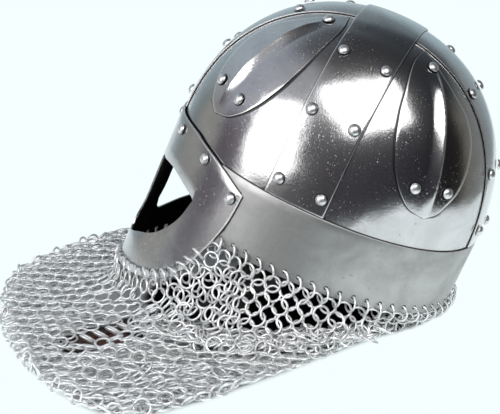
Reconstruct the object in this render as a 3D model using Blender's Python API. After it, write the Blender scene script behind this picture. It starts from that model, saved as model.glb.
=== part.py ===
"""Steel helmet with riveted bands, raised leaves, a face plate and a mail aventail, lying tipped back on its mail.

Metres, +Z up. The helmet is modelled upright in its own frame: the face looks to -Y, the wearer's left is +X,
and height zero is the top edge of the brow band at the sides. It is then tipped back onto its rear rim. The mail
and the chin strap are modelled as they lie, in a frame whose height zero is the surface under the helmet and
whose other two zeros are below the middle of the brow band. In both frames an angle round the helmet is in
degrees, 0 at the face, 90 at the wearer's left ear and 180 at the back.
"""
import math

import bmesh
import bpy
from mathutils import Matrix, Vector

# Skull, on the outer face of the panels
SKULL_HALF_WIDTH = 0.0973
SKULL_FRONT_REACH = 0.1190
SKULL_REAR_REACH = 0.1150
SKULL_HEIGHT = 0.1255
PLAN_ROUNDNESS = 2.07      # 2 is an ellipse, more is fuller at the corners
DOME_ROUNDNESS = 2.17

# Sheet metal
PANEL_THICKNESS = 0.0012
BAND_THICKNESS = 0.0012
PLATE_THICKNESS = 0.0014
LEAF_THICKNESS = 0.0010
LAYER_GAP = 0.00065        # between one sheet and the next, with room for the facets
LEAF_GAP = 0.00085         # the same under the leaves
SEAM_GAP = 0.0003          # between edges and faces that touch
PANEL_TUCK = 0.012         # how far the panels reach down behind the brow band

# Bands
CREST_BAND_WIDTH = 0.0417
CROSS_BAND_WIDTH = 0.0451
CROSS_BAND_FORWARD = 0.0053
CREST_BAND_TUCK = 0.012    # how far its front end reaches down behind the face plate
CROSSING_RUN = 0.018       # length over which the cross band climbs onto the crest band
BROW_DEPTH = 0.0519
BROW_TOP_SLOPE = 0.019     # rise of the band's top edge per length towards the back
BROW_RIM_SLOPE = 0.024
BROW_END_ANGLE = 52.5      # where its ends stop, behind the face plate

# Face plate. Heights are shares of the depth from the brow to the chin edge
FACE_DEPTH = 0.129
CHIN_BULGE = 0.0026
NASAL_ANGLE = 10.6         # half of the nasal, and the first column of the eye opening
EYE_CORNER_ANGLE = 46.8
JAW_CORNER_ANGLE = 61.9    # lower rear corner, where the notch above the mail is
FACE_COLUMNS = (
    # angle, top edge, top of eye, bottom of eye, bottom edge
    (0.0, 0.022, -0.325, -0.680, -1.000),
    (NASAL_ANGLE / 2, 0.024, -0.325, -0.680, -0.997),
    (NASAL_ANGLE, 0.028, -0.325, -0.680, -0.986),
    (12.2, 0.030, -0.285, -0.740, -0.980),
    (14.5, 0.031, -0.262, -0.763, -0.973),
    (18.5, 0.035, -0.255, -0.745, -0.960),
    (24.0, 0.040, -0.238, -0.702, -0.938),
    (29.5, 0.044, -0.229, -0.659, -0.915),
    (34.8, 0.042, -0.236, -0.605, -0.891),
    (39.0, 0.030, -0.248, -0.539, -0.862),
    (42.2, 0.021, -0.260, -0.473, -0.840),
    (44.8, 0.013, -0.272, -0.395, -0.818),
    (46.2, 0.009, -0.279, -0.320, -0.803),
    (EYE_CORNER_ANGLE, 0.007, -0.290, -0.290, -0.797),
    (49.5, -0.003, -0.290, -0.290, -0.764),
    (53.5, -0.020, -0.290, -0.290, -0.690),
    (57.0, -0.037, -0.260, -0.260, -0.593),
    (59.5, -0.052, -0.250, -0.250, -0.516),
    (JAW_CORNER_ANGLE, -0.066, -0.230, -0.230, -0.432),
    (63.2, -0.074, -0.200, -0.200, -0.372),
    (64.8, -0.083, -0.150, -0.150, -0.295),
    (65.9, -0.089, -0.120, -0.120, -0.198),
    (66.5, -0.093, -0.093, -0.093, -0.100),
)

# Leaves, each set on a meridian of the skull; angles in degrees, elevation seen from the middle of the brow
LEAF_FRONT_MERIDIAN = 37.5
LEAF_REAR_MERIDIAN = 137.5
LEAF_FOOT_ELEVATION = 13.2
LEAF_FRONT_TIP_ELEVATION = 71.0
LEAF_REAR_TIP_ELEVATION = 73.5
LEAF_CROSS_SIDE_WIDTH = 0.0330      # from the rib to the edge towards the cross band
LEAF_CREST_SIDE_WIDTH = 0.0290      # and to the edge towards the crest band
LEAF_RIB_HEIGHT = 0.0026
LEAF_RIB_WIDTH = 0.0105
LEAF_STATIONS = (
    # share of the length, of the width to either side, and of the height of the rib
    (1.000, 0.00, 0.00, 0.00),
    (0.940, 0.33, 0.11, 0.00),
    (0.850, 0.58, 0.25, 0.00),
    (0.740, 0.77, 0.50, 0.75),
    (0.605, 0.94, 0.86, 1.00),
    (0.460, 1.00, 1.00, 1.00),
    (0.320, 0.95, 0.94, 0.95),
    (0.190, 0.80, 0.77, 0.75),
    (0.095, 0.59, 0.51, 0.45),
    (0.035, 0.36, 0.30, 0.20),
    (0.000, 0.00, 0.00, 0.00),
)

# Rivets
RIVET_RADIUS = 0.0039
RIVET_HEIGHT = 0.0027
RIVET_SIDES = 8
RIVET_INSET = 0.0062       # from the edge of a band to the middle of a rivet
CROSS_RIVET_HEIGHTS = (0.0130, 0.0645, 0.1035)
CREST_RIVET_ANGLES = (8.0, 29.0, 57.0)
LEAF_RIVETS = ((0.880, 0.0), (0.175, -6.9), (0.175, 6.4))   # share of the leaf's length, angle aside of its rib
PLATE_RIVETS = ((0.0, -0.055), (24.5, -0.022), (44.8, -0.038), (62.3, -0.140))     # angle, share of the depth

# Holes for the mail
HOLE_RADIUS = 0.0016
HOLE_SIDES = 6
HOLE_PITCH = 0.0103
HOLE_RISE = 0.0052         # from the edge up to the middle of a hole

# How the helmet lies
TIP_BACK = math.radians(23.6)
REST_HEIGHT = 0.1015       # of the middle of the brow band over the surface

# Mail
MAIL_THICKNESS = 0.0032
MAIL_COLUMNS = 56
MAIL_RIM_GAP = 0.0008
MAIL_REACH = 0.255         # from below the middle of the brow band to the edge in front of the chin
MAIL_EDGE_HEIGHT = 0.0088  # middle of the upper layer at the edge, over the layer folded under it
MAIL_FOLD_DEPTH = 0.026    # width of the layer folded under
MAIL_WAVE = 0.0009
MAIL_WAVES_ROUND = 7
MAIL_MIDDLE_FORWARD = 0.035
MAIL_TUCK_ANGLES = (108.0, 134.0)     # behind the second it hangs from the rim and is tucked straight under
MAIL_OUTLINE = (
    # angle, share of the reach
    (0.0, 1.000), (15.0, 0.975), (33.0, 0.968), (45.0, 0.984), (55.0, 1.015), (64.0, 1.045), (70.0, 1.060),
    (74.5, 1.040), (78.0, 0.955), (82.0, 0.830), (86.5, 0.700), (92.0, 0.590), (98.0, 0.495), (105.0, 0.430),
    (115.5, 0.366), (128.0, 0.326), (145.0, 0.316), (162.0, 0.320), (180.0, 0.322),
)
MAIL_FAN = (
    # angle round the rim, angle of the outline that it runs out to
    (0.0, 0.0), (30.0, 24.0), (50.0, 42.0), (60.0, 54.0), (66.0, 61.0), (75.0, 69.0), (90.0, 77.0),
    (105.0, 84.5), (112.0, 92.0), (120.0, 103.0), (127.0, 115.5), (135.0, 128.0), (150.0, 145.0),
    (165.0, 162.0), (180.0, 180.0),
)
MAIL_SECTION = (
    # spread out: share of the way out, share of the drop that is left; tucked under: share of the way down
    (0.000, 1.00, 0.00), (0.026, 0.66, 0.14), (0.060, 0.34, 0.28), (0.120, 0.12, 0.42), (0.220, 0.02, 0.57),
    (0.420, 0.00, 0.71), (0.700, 0.00, 0.86), (1.000, 0.00, 1.00),
)

# Opened fold in the mail, over the strap
FOLD_FORWARD = 0.137
FOLD_LEFT = 0.128
FOLD_LENGTH = 0.054
FOLD_WIDTH = 0.015
FOLD_HEADING = 60.0        # degrees from straight ahead towards the wearer's left
FOLD_SIDES = 10

# Chin strap
STRAP_WIDTH = 0.018
STRAP_THICKNESS = 0.0024
STRAP_STEPS = 3
STRAP_FLAT_BELOW = 0.006
STRAP_UPRIGHT_ABOVE = 0.030
STRAP_ANCHOR_SIDE = 0.0926
STRAP_LYING = STRAP_THICKNESS / 2 + 0.0004
STRAP_SQUARE = MAIL_REACH / 255    # the lying part is laid out on squares of this size, under the mail
STRAP_LOOP = (
    # squares towards the wearer's left, and forward
    (81, 82), (96, 112), (124, 134), (140, 144), (138, 157), (116, 155), (80, 130), (42, 96), (0, 66), (-40, 50),
)
STRAP_ROUTE = (
    # towards the wearer's left, forward, up
    (STRAP_ANCHOR_SIDE, 0.006, 0.118),
    (0.0900, 0.024, 0.086),
    (0.0830, 0.042, 0.048),
    (0.0770, 0.058, 0.017),
    *((left * STRAP_SQUARE, ahead * STRAP_SQUARE, STRAP_LYING) for left, ahead in STRAP_LOOP),
    (-0.0680, 0.044, 0.006),
    (-0.0830, 0.038, 0.034),
    (-0.0895, 0.024, 0.078),
    (-STRAP_ANCHOR_SIDE, 0.006, 0.118),
)

# Finishes: colour, metallic, roughness
FINISHES = {
    "polished_steel": ((0.56, 0.56, 0.57), 1.0, 0.16),
    "rivet_steel": ((0.72, 0.72, 0.72), 1.0, 0.22),
    "zinc_mail": ((0.66, 0.68, 0.68), 1.0, 0.30),
    "brown_leather": ((0.11, 0.035, 0.022), 0.0, 0.62),
}

BAND_LIFT = LAYER_GAP + BAND_THICKNESS                          # outer face of a band on the panels
CROSSING_LIFT = BAND_LIFT + LAYER_GAP + BAND_THICKNESS          # of the cross band over the crest band
PLATE_LIFT = BAND_LIFT + LAYER_GAP + PLATE_THICKNESS
LEAF_LIFT = LEAF_GAP + LEAF_THICKNESS


def clear_scene():
    for thing in list(bpy.data.objects):
        bpy.data.objects.remove(thing, do_unlink=True)


def finish_material(name):
    """The named finish as a material, made once."""
    material = bpy.data.materials.get(name)
    if material is None:
        colour, metallic, roughness = FINISHES[name]
        material = bpy.data.materials.new(name)
        material.use_nodes = True
        shader = material.node_tree.nodes["Principled BSDF"]
        shader.inputs["Base Color"].default_value = (*colour, 1.0)
        shader.inputs["Metallic"].default_value = metallic
        shader.inputs["Roughness"].default_value = roughness
    return material


def between(table, where, column=1):
    """Value of a column of a table at a place in its first column, on straight lines between its rows."""
    for low, high in zip(table, table[1:]):
        if where <= high[0]:
            share = (where - low[0]) / (high[0] - low[0])
            return low[column] + share * (high[column] - low[column])
    return table[-1][column]


def smooth_step(low, high, value):
    share = min(1.0, max(0.0, (value - low) / (high - low)))
    return share * share * (3 - 2 * share)


def folded_angle(angle):
    """The same angle on the wearer's left side, from 0 to 180, and the side it is on."""
    turned = (angle + 180) % 360 - 180
    return abs(turned), (1 if turned >= 0 else -1)


# Skull surface

def plan_level(x, y):
    reach = SKULL_FRONT_REACH if y < 0 else SKULL_REAR_REACH
    return abs(x / SKULL_HALF_WIDTH) ** PLAN_ROUNDNESS + abs(y / reach) ** PLAN_ROUNDNESS


def skull_level(point):
    """Below 1 inside the skull, 1 on it; the wall is upright below the brow."""
    dome = max(point.z, 0.0) / SKULL_HEIGHT
    return plan_level(point.x, point.y) ** (DOME_ROUNDNESS / PLAN_ROUNDNESS) + dome ** DOME_ROUNDNESS


def on_ray(start, direction):
    """The point of the skull that is straight along a direction from a point inside it."""
    near, far = 0.0, 2 * SKULL_FRONT_REACH
    while skull_level(start + direction * far) < 1:
        far *= 2
    for _ in range(40):
        middle = (near + far) / 2
        if skull_level(start + direction * middle) < 1:
            near = middle
        else:
            far = middle
    return start + direction * near


def skull_normal(point):
    reach = SKULL_FRONT_REACH if point.y < 0 else SKULL_REAR_REACH
    plan = max(plan_level(point.x, point.y), 1e-9) ** (DOME_ROUNDNESS / PLAN_ROUNDNESS - 1)
    across = plan * abs(point.x / SKULL_HALF_WIDTH) ** (PLAN_ROUNDNESS - 1) / SKULL_HALF_WIDTH
    along = plan * abs(point.y / reach) ** (PLAN_ROUNDNESS - 1) / reach
    rise = (max(point.z, 0.0) / SKULL_HEIGHT) ** (DOME_ROUNDNESS - 1) / SKULL_HEIGHT
    return Vector((math.copysign(across, point.x), math.copysign(along, point.y), rise)).normalized()


def lifted(point, lift):
    return point + skull_normal(point) * lift


def round_direction(angle):
    """Level direction at an angle round the helmet."""
    return Vector((math.sin(math.radians(angle)), -math.cos(math.radians(angle)), 0.0))


def wall_point(angle, height, lift):
    """Point of the upright wall, or of its straight continuation, at an angle round it."""
    base = on_ray(Vector(), round_direction(angle))
    point = lifted(base, lift)
    point.z = height
    return point


def brow_top(y):
    return BROW_TOP_SLOPE * y


def brow_rim(y):
    return -BROW_DEPTH + BROW_RIM_SLOPE * y


# Meshes and objects

def grid_mesh(name, rows, closed=False, is_open=None):
    """Mesh of a grid of points. Points that coincide are one, and cells named by is_open are left out."""
    bm = bmesh.new()
    corners = {}

    def corner(point):
        key = tuple(round(value, 7) for value in point)
        if key not in corners:
            corners[key] = bm.verts.new(point)
        return corners[key]

    count = len(rows)
    for i in range(count if closed else count - 1):
        here, there = rows[i], rows[(i + 1) % count]
        for j in range(len(here) - 1):
            if is_open is not None and is_open(i, j):
                continue
            face = list(dict.fromkeys(corner(p) for p in (here[j], there[j], there[j + 1], here[j + 1])))
            if len(face) > 2:
                bm.faces.new(face)
    bmesh.ops.recalc_face_normals(bm, faces=bm.faces)
    outward = sum(face.normal.dot(face.calc_center_median()) * face.calc_area() for face in bm.faces)
    if outward < 0:
        bmesh.ops.reverse_faces(bm, faces=bm.faces)
    mesh = bpy.data.meshes.new(name)
    bm.to_mesh(mesh)
    bm.free()
    return mesh


def add_object(name, mesh, finish, parent):
    piece = bpy.data.objects.new(name, mesh)
    bpy.context.scene.collection.objects.link(piece)
    if not mesh.materials:
        mesh.materials.append(finish_material(finish))
    piece.parent = parent
    return piece


def add_sheet(name, mesh, finish, parent, thickness, offset=-1.0):
    """A piece whose mesh is its outer face, with a wall of the given thickness behind it."""
    piece = add_object(name, mesh, finish, parent)
    wall = piece.modifiers.new("wall", "SOLIDIFY")
    wall.thickness = thickness
    wall.offset = offset
    wall.use_even_offset = True
    return piece


def add_cutter(name, mesh, parent):
    cutter = bpy.data.objects.new(name, mesh)
    bpy.context.scene.collection.objects.link(cutter)
    cutter.parent = parent
    cutter.hide_render = True
    cutter.display_type = "WIRE"
    return cutter


def cut(piece, cutter):
    opening = piece.modifiers.new("openings", "BOOLEAN")
    opening.operation = "DIFFERENCE"
    opening.solver = "EXACT"
    opening.object = cutter


# Quarter panels

def panel_rows(side, back):
    """A quarter of the skull from its tucked lower edge to the crown; side and back are 1 or -1."""
    angles = [7.5 * step for step in range(13)]
    rises = [10.0 * step for step in range(10)]
    rows = []
    for angle in angles:
        base = on_ray(Vector(), round_direction(angle if back < 0 else 180 - angle))
        row = [Vector((base.x, base.y, -PANEL_TUCK))]
        for rise in rises:
            height = SKULL_HEIGHT * math.sin(math.radians(rise)) ** (2 / DOME_ROUNDNESS)
            shrink = max(math.cos(math.radians(rise)), 0.0) ** (2 / DOME_ROUNDNESS)
            row.append(Vector((base.x * shrink, base.y * shrink, height)))
        rows.append(row)
    keep = 1 - SEAM_GAP / SKULL_HALF_WIDTH
    return [[Vector((side * (SEAM_GAP + abs(p.x) * keep), back * (SEAM_GAP + abs(p.y) * keep), p.z))
             for p in row] for row in rows]


def add_panels(helmet):
    for back, place in ((-1, "front"), (1, "rear")):
        for side, hand in ((1, "left"), (-1, "right")):
            name = f"panel_{place}_{hand}"
            mesh = grid_mesh(name, panel_rows(side, back))
            add_sheet(name, mesh, "polished_steel", helmet, PANEL_THICKNESS)


# Bands over the crown

def end_angle(middle, forward, height):
    """Elevation, seen from a point of the brow plane, of the skull at a height along a level direction."""
    start = Vector((middle.x, middle.y, height))
    reach = (on_ray(start, forward) - start).length
    return math.atan2(height, reach)


def band_rows(across, along, middle, half_width, low_start, low_end, lift_at, steps, strips):
    """Rows of points over the crown. across and along are level axes; the band's ends are at given heights."""
    rows = []
    for step in range(steps + 1):
        row = []
        for strip in range(strips + 1):
            foot = middle + across * half_width * (2 * strip / strips - 1)
            first = end_angle(foot, along, low_start(foot))
            last = math.pi - end_angle(foot, -along, low_end(foot))
            angle = first + (last - first) * step / steps
            point = on_ray(foot, along * math.cos(angle) + Vector((0, 0, math.sin(angle))))
            row.append(lifted(point, lift_at(point)))
        rows.append(row)
    return rows


def crossing_lift(point):
    """The cross band lies on the panels, and climbs over the crest band."""
    edge = CREST_BAND_WIDTH / 2 + BAND_THICKNESS
    return CROSSING_LIFT - (CROSSING_LIFT - BAND_LIFT) * smooth_step(edge, edge + CROSSING_RUN, abs(point.x))


def add_bands(helmet):
    def over_brow(foot):
        return brow_top(foot.y) + SEAM_GAP + BAND_THICKNESS / 4

    forward = Vector((0, -1, 0))
    crest = band_rows(
        Vector((1, 0, 0)), forward, Vector(), CREST_BAND_WIDTH / 2,
        lambda foot: -CREST_BAND_TUCK, lambda foot: over_brow(Vector((0, SKULL_REAR_REACH, 0))),
        lambda point: BAND_LIFT, 30, 3)
    add_sheet("crest_band", grid_mesh("crest_band", crest), "polished_steel", helmet, BAND_THICKNESS)
    cross = band_rows(
        Vector((0, 1, 0)), Vector((1, 0, 0)), forward * CROSS_BAND_FORWARD, CROSS_BAND_WIDTH / 2,
        over_brow, over_brow, crossing_lift, 36, 3)
    add_sheet("cross_band", grid_mesh("cross_band", cross), "polished_steel", helmet, BAND_THICKNESS)


# Rim of the brow band and the face plate

def plate_bulge(angle, height):
    """The lower middle of the face plate stands forward of the nasal."""
    low = smooth_step(0.55 * FACE_DEPTH, 0.80 * FACE_DEPTH, -height)
    return CHIN_BULGE * low * (1 - smooth_step(18.0, 50.0, angle))


def plate_point(angle, height, lift):
    turned, _ = folded_angle(angle)
    return wall_point(angle, height, lift + plate_bulge(turned, height))


def rim_point(angle):
    """Middle of the wall's lower edge at an angle round the helmet."""
    turned, _ = folded_angle(angle)
    if turned <= JAW_CORNER_ANGLE:
        height = FACE_DEPTH * between(FACE_COLUMNS, turned, 4)
        return plate_point(angle, height, PLATE_LIFT - PLATE_THICKNESS / 2)
    point = wall_point(angle, 0.0, BAND_LIFT - BAND_THICKNESS / 2)
    point.z = brow_rim(point.y)
    return point


def rim_walk(first, last, pitch):
    """Angles between two angles at which the rim's length goes up in equal steps of about the pitch."""
    count = 240
    angles = [first + (last - first) * step / count for step in range(count + 1)]
    points = [rim_point(angle) for angle in angles]
    lengths = [0.0]
    for here, there in zip(points, points[1:]):
        lengths.append(lengths[-1] + (there - here).length)
    steps = max(1, round(lengths[-1] / pitch))
    table = tuple(zip(lengths, angles))
    return [between(table, lengths[-1] * step / steps) for step in range(steps + 1)]


def hole_cutter(name, angles, helmet):
    """Short bars through the wall, set back from the edge and square to the wall."""
    bm = bmesh.new()
    for angle in angles:
        tangent = (rim_point(angle + 0.4) - rim_point(angle - 0.4)).normalized()
        outward = skull_normal(on_ray(Vector(), round_direction(angle)))
        inward_up = tangent.cross(outward)
        if inward_up.z < 0:
            inward_up = -inward_up
        place = rim_point(angle) + inward_up.normalized() * HOLE_RISE
        turn = outward.to_track_quat("Z", "Y").to_matrix().to_4x4()
        bmesh.ops.create_cone(
            bm, cap_ends=True, segments=HOLE_SIDES, radius1=HOLE_RADIUS, radius2=HOLE_RADIUS,
            depth=8 * PLATE_THICKNESS, matrix=Matrix.Translation(place) @ turn)
    mesh = bpy.data.meshes.new(name)
    bm.to_mesh(mesh)
    bm.free()
    return add_cutter(name, mesh, helmet)


def add_brow_band(helmet):
    columns = [BROW_END_ANGLE + 7.5 * step for step in range(35)]
    rows = []
    for angle in columns:
        edge = wall_point(angle, 0.0, BAND_LIFT)
        rows.append([Vector((edge.x, edge.y, brow_top(edge.y))), Vector((edge.x, edge.y, brow_rim(edge.y)))])
    band = add_sheet("brow_band", grid_mesh("brow_band", rows), "polished_steel", helmet, BAND_THICKNESS)
    first = JAW_CORNER_ANGLE + math.degrees(HOLE_RISE / SKULL_HALF_WIDTH)
    cut(band, hole_cutter("brow_hole_cutter", rim_walk(first, 360 - first, HOLE_PITCH), helmet))


def add_face_plate(helmet):
    left = [row for row in FACE_COLUMNS]
    right = [(-row[0], *row[1:]) for row in FACE_COLUMNS[:0:-1]]
    rows = []
    for angle, top, eye_top, eye_bottom, bottom in right + left:
        heights = (FACE_DEPTH * share for share in (top, eye_top, eye_bottom, bottom))
        rows.append([plate_point(angle, height, PLATE_LIFT) for height in heights])
    angles = [row[0] for row in right + left]

    def is_eye(i, j):
        inner = min(abs(angles[i]), abs(angles[i + 1]))
        return j == 1 and inner >= NASAL_ANGLE and inner < EYE_CORNER_ANGLE

    mesh = grid_mesh("face_plate", rows, is_open=is_eye)
    plate = add_sheet("face_plate", mesh, "polished_steel", helmet, PLATE_THICKNESS)
    last = JAW_CORNER_ANGLE - 2 * math.degrees(HOLE_RISE / SKULL_HALF_WIDTH) / 2
    cut(plate, hole_cutter("plate_hole_cutter", rim_walk(-last, last, HOLE_PITCH), helmet))


# Leaves

def leaf_point(meridian, elevation, aside):
    """Point of the skull at an elevation on a meridian and an angle to its left, all in degrees."""
    level = round_direction(meridian)
    sideways = round_direction(meridian + 90)
    rise = math.radians(elevation)
    turn = math.radians(aside)
    direction = (level * math.cos(rise) + Vector((0, 0, math.sin(rise)))) * math.cos(turn)
    return on_ray(Vector(), direction + sideways * math.sin(turn))


def leaf_rows(meridian, steep_side, tip_elevation):
    """The rib climbs gently from the side of the cross band and drops steeply on the other."""
    rows = []
    for share, cross_share, crest_share, rib_share in LEAF_STATIONS:
        elevation = LEAF_FOOT_ELEVATION + (tip_elevation - LEAF_FOOT_ELEVATION) * share
        cross_edge = LEAF_CROSS_SIDE_WIDTH * cross_share
        crest_edge = LEAF_CREST_SIDE_WIDTH * crest_share
        rib = min(LEAF_RIB_WIDTH * (0.35 + 0.65 * rib_share), cross_edge, 2 * crest_edge)
        places = (
            (-cross_edge, 0.0), (-(cross_edge + rib * 0.7) / 2, 0.0), (-rib * 0.7, 0.0), (-rib * 0.2, 0.62),
            (rib * 0.12, 1.0), (rib * 0.3, 0.0), ((crest_edge + rib * 0.3) / 2, 0.0), (crest_edge, 0.0),
        )
        reach = leaf_point(meridian, elevation, 0.0).length
        row = []
        for place, height in places:
            aside = math.degrees(math.asin(place / reach)) * steep_side
            point = leaf_point(meridian, elevation, aside)
            row.append(lifted(point, LEAF_LIFT + LEAF_RIB_HEIGHT * height * rib_share))
        rows.append(row)
    return rows


def leaves():
    """Name, meridian, steep side and elevation of the upper tip of each leaf."""
    for place, meridian, steep, tip in (
            ("front", LEAF_FRONT_MERIDIAN, -1, LEAF_FRONT_TIP_ELEVATION),
            ("rear", LEAF_REAR_MERIDIAN, 1, LEAF_REAR_TIP_ELEVATION)):
        yield f"leaf_{place}_left", meridian, steep, tip
        yield f"leaf_{place}_right", -meridian, -steep, tip


def add_leaves(helmet):
    for name, meridian, steep, tip in leaves():
        mesh = grid_mesh(name, leaf_rows(meridian, steep, tip))
        add_sheet(name, mesh, "polished_steel", helmet, LEAF_THICKNESS)


# Rivets

def rivet_mesh():
    """A domed head with a flat back, turned from its half outline."""
    outline = ((0.0, 0.0), (1.0, 0.0), (0.78, 0.68), (0.0, 1.0))
    bm = bmesh.new()
    points = [bm.verts.new((RIVET_RADIUS * r, 0.0, RIVET_HEIGHT * h)) for r, h in outline]
    edges = [bm.edges.new(pair) for pair in zip(points, points[1:])]
    bmesh.ops.spin(bm, geom=points + edges, cent=(0, 0, 0), axis=(0, 0, 1), angle=math.tau, steps=RIVET_SIDES)
    bmesh.ops.remove_doubles(bm, verts=bm.verts, dist=1e-5)
    bmesh.ops.recalc_face_normals(bm, faces=bm.faces)
    mesh = bpy.data.meshes.new("rivet")
    bm.to_mesh(mesh)
    bm.free()
    mesh.shade_smooth()
    return mesh


def rivet_seats():
    """Name of a row of rivets, then place and lift of each."""
    crosswise = []
    for edge in (-1, 1):
        y = -CROSS_BAND_FORWARD + edge * (CROSS_BAND_WIDTH / 2 - RIVET_INSET)
        for height in CROSS_RIVET_HEIGHTS:
            for side in (1, -1):
                point = on_ray(Vector((0, y, height)), Vector((side, 0, 0)))
                crosswise.append((point, crossing_lift(point)))
    yield "cross_rivet", crosswise
    lengthwise = []
    for end in (-1, 1):
        for angle in CREST_RIVET_ANGLES:
            rise = math.radians(angle)
            for side in (1, -1):
                start = Vector((side * (CREST_BAND_WIDTH / 2 - RIVET_INSET), 0, 0))
                point = on_ray(start, Vector((0, end * math.cos(rise), math.sin(rise))))
                lengthwise.append((point, BAND_LIFT))
    yield "crest_rivet", lengthwise
    on_leaves = []
    for _, meridian, steep, tip in leaves():
        for share, aside in LEAF_RIVETS:
            elevation = LEAF_FOOT_ELEVATION + (tip - LEAF_FOOT_ELEVATION) * share
            on_leaves.append((leaf_point(meridian, elevation, aside * steep), LEAF_LIFT))
    yield "leaf_rivet", on_leaves
    on_plate = []
    for angle, share in PLATE_RIVETS:
        for side in ((1, -1) if angle else (1,)):
            on_plate.append((wall_point(side * angle, FACE_DEPTH * share, 0.0), PLATE_LIFT))
    yield "plate_rivet", on_plate


def add_rivets(helmet):
    mesh = rivet_mesh()
    for row_name, seats in rivet_seats():
        for number, (point, lift) in enumerate(seats, 1):
            flat = Vector((point.x, point.y, 0.0)) if row_name == "plate_rivet" else point
            normal = skull_normal(flat)
            rivet = add_object(f"{row_name}_{number}", mesh, "rivet_steel", helmet)
            rivet.location = point + normal * (lift + SEAM_GAP)
            rivet.rotation_mode = "QUATERNION"
            rivet.rotation_quaternion = normal.to_track_quat("Z", "Y")


# Mail

def helmet_to_rest():
    """From the upright helmet to the helmet as it lies."""
    return Matrix.Translation((0, 0, REST_HEIGHT)) @ Matrix.Rotation(-TIP_BACK, 4, "X")


def mail_column(angle):
    """Points of the mail from the rim out to its edge and back under it, at an angle round the rim."""
    turned, side = folded_angle(angle)
    start = helmet_to_rest() @ rim_point(angle)
    start.z -= MAIL_RIM_GAP
    heading = side * between(MAIL_FAN, turned)
    edge = round_direction(heading) * MAIL_REACH * between(MAIL_OUTLINE, abs(heading))
    inward = (Vector((0, -MAIL_MIDDLE_FORWARD, 0)) - edge).normalized()
    low = MAIL_THICKNESS / 2
    turn = (MAIL_EDGE_HEIGHT - low) / 2
    tucked = smooth_step(*MAIL_TUCK_ANGLES, turned)
    level_start = Vector((start.x, start.y, 0))
    brink = (edge + inward * turn).lerp(edge, tucked)
    high = MAIL_EDGE_HEIGHT + (low + turn - MAIL_EDGE_HEIGHT) * tucked
    points = []
    for out, left, down in MAIL_SECTION:
        wave = MAIL_WAVE * math.sin(math.radians(angle) * MAIL_WAVES_ROUND) * math.sin(math.pi * out)
        share = out + (down - out) * tucked
        drop = left + (1 - down - left) * tucked
        height = high + (start.z - high) * drop + wave * (1 - tucked)
        points.append(level_start.lerp(brink, share) + Vector((0, 0, height)))
    bend = edge + inward * turn * 0.3 * tucked
    points.append(bend + Vector((0, 0, low + turn * (1 - 0.7 * tucked))))
    points.append(edge + inward * turn + Vector((0, 0, low)))
    points.append(edge + inward * MAIL_FOLD_DEPTH + Vector((0, 0, low)))
    return points


def add_mail(root):
    half = rim_walk(0.0, 180.0, rim_length() / MAIL_COLUMNS)
    angles = half + [360 - angle for angle in half[-2:0:-1]]
    rows = [mail_column(angle) for angle in angles]
    mesh = grid_mesh("mail_aventail", rows, closed=True)
    mail = add_sheet("mail_aventail", mesh, "zinc_mail", root, MAIL_THICKNESS, offset=0.0)
    cut(mail, fold_cutter(root))


def rim_length():
    points = [rim_point(angle) for angle in range(361)]
    return sum((there - here).length for here, there in zip(points, points[1:]))


def fold_cutter(root):
    """Long oval bar through the upper layer only, where the mail has drawn apart."""
    heading = round_direction(FOLD_HEADING)
    low = STRAP_LYING + STRAP_THICKNESS
    high = 3 * MAIL_EDGE_HEIGHT
    stretch = Matrix.Diagonal((FOLD_LENGTH / 2, FOLD_WIDTH / 2, 1.0, 1.0))
    turn = Matrix.Rotation(math.atan2(heading.y, heading.x), 4, "Z")
    place = Matrix.Translation((FOLD_LEFT, -FOLD_FORWARD, (low + high) / 2))
    bm = bmesh.new()
    bmesh.ops.create_cone(
        bm, cap_ends=True, segments=FOLD_SIDES, radius1=1.0, radius2=1.0, depth=high - low,
        matrix=place @ turn @ stretch)
    mesh = bpy.data.meshes.new("fold_cutter")
    bm.to_mesh(mesh)
    bm.free()
    return add_cutter("fold_cutter", mesh, root)


# Chin strap

def smooth_route(points, steps):
    """Points of a smooth curve through the given ones."""
    ends = [points[0] * 2 - points[1]] + points + [points[-1] * 2 - points[-2]]
    route = []
    for before, here, there, after in zip(ends, ends[1:], ends[2:], ends[3:]):
        for step in range(steps):
            t = step / steps
            route.append(0.5 * (2 * here + (there - before) * t + (2 * before - 5 * here + 4 * there - after) * t * t
                                + (3 * here - before - 3 * there + after) * t ** 3))
    route.append(points[-1])
    return route


def add_chin_strap(root):
    """Flat band from one ear down to the surface, out under the mail, and back up to the other ear."""
    route = smooth_route([Vector((left, -ahead, up)) for left, ahead, up in STRAP_ROUTE], STRAP_STEPS)
    for point in route:
        point.z = max(point.z, STRAP_LYING)
    bm = bmesh.new()
    rings = []
    for number, point in enumerate(route):
        tangent = (route[min(number + 1, len(route) - 1)] - route[max(number - 1, 0)]).normalized()
        upright = smooth_step(STRAP_FLAT_BELOW, STRAP_UPRIGHT_ABOVE, point.z)
        on_wall = tangent.cross(Vector((1, 0, 0)))
        on_floor = tangent.cross(Vector((0, 0, 1)))
        width = (on_floor * (1 - upright) + on_wall * upright).normalized() * STRAP_WIDTH / 2
        thick = tangent.cross(width).normalized() * STRAP_THICKNESS / 2
        rings.append([bm.verts.new(point + offset) for offset in (width + thick, thick - width,
                                                                   -width - thick, width - thick)])
    for here, there in zip(rings, rings[1:]):
        for i in range(4):
            bm.faces.new((here[i], there[i], there[(i + 1) % 4], here[(i + 1) % 4]))
    bm.faces.new(rings[0])
    bm.faces.new(rings[-1])
    bmesh.ops.recalc_face_normals(bm, faces=bm.faces)
    mesh = bpy.data.meshes.new("chin_strap")
    bm.to_mesh(mesh)
    bm.free()
    add_object("chin_strap", mesh, "brown_leather", root)


def add_empty(name, parent=None):
    empty = bpy.data.objects.new(name, None)
    bpy.context.scene.collection.objects.link(empty)
    empty.parent = parent
    return empty


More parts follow.
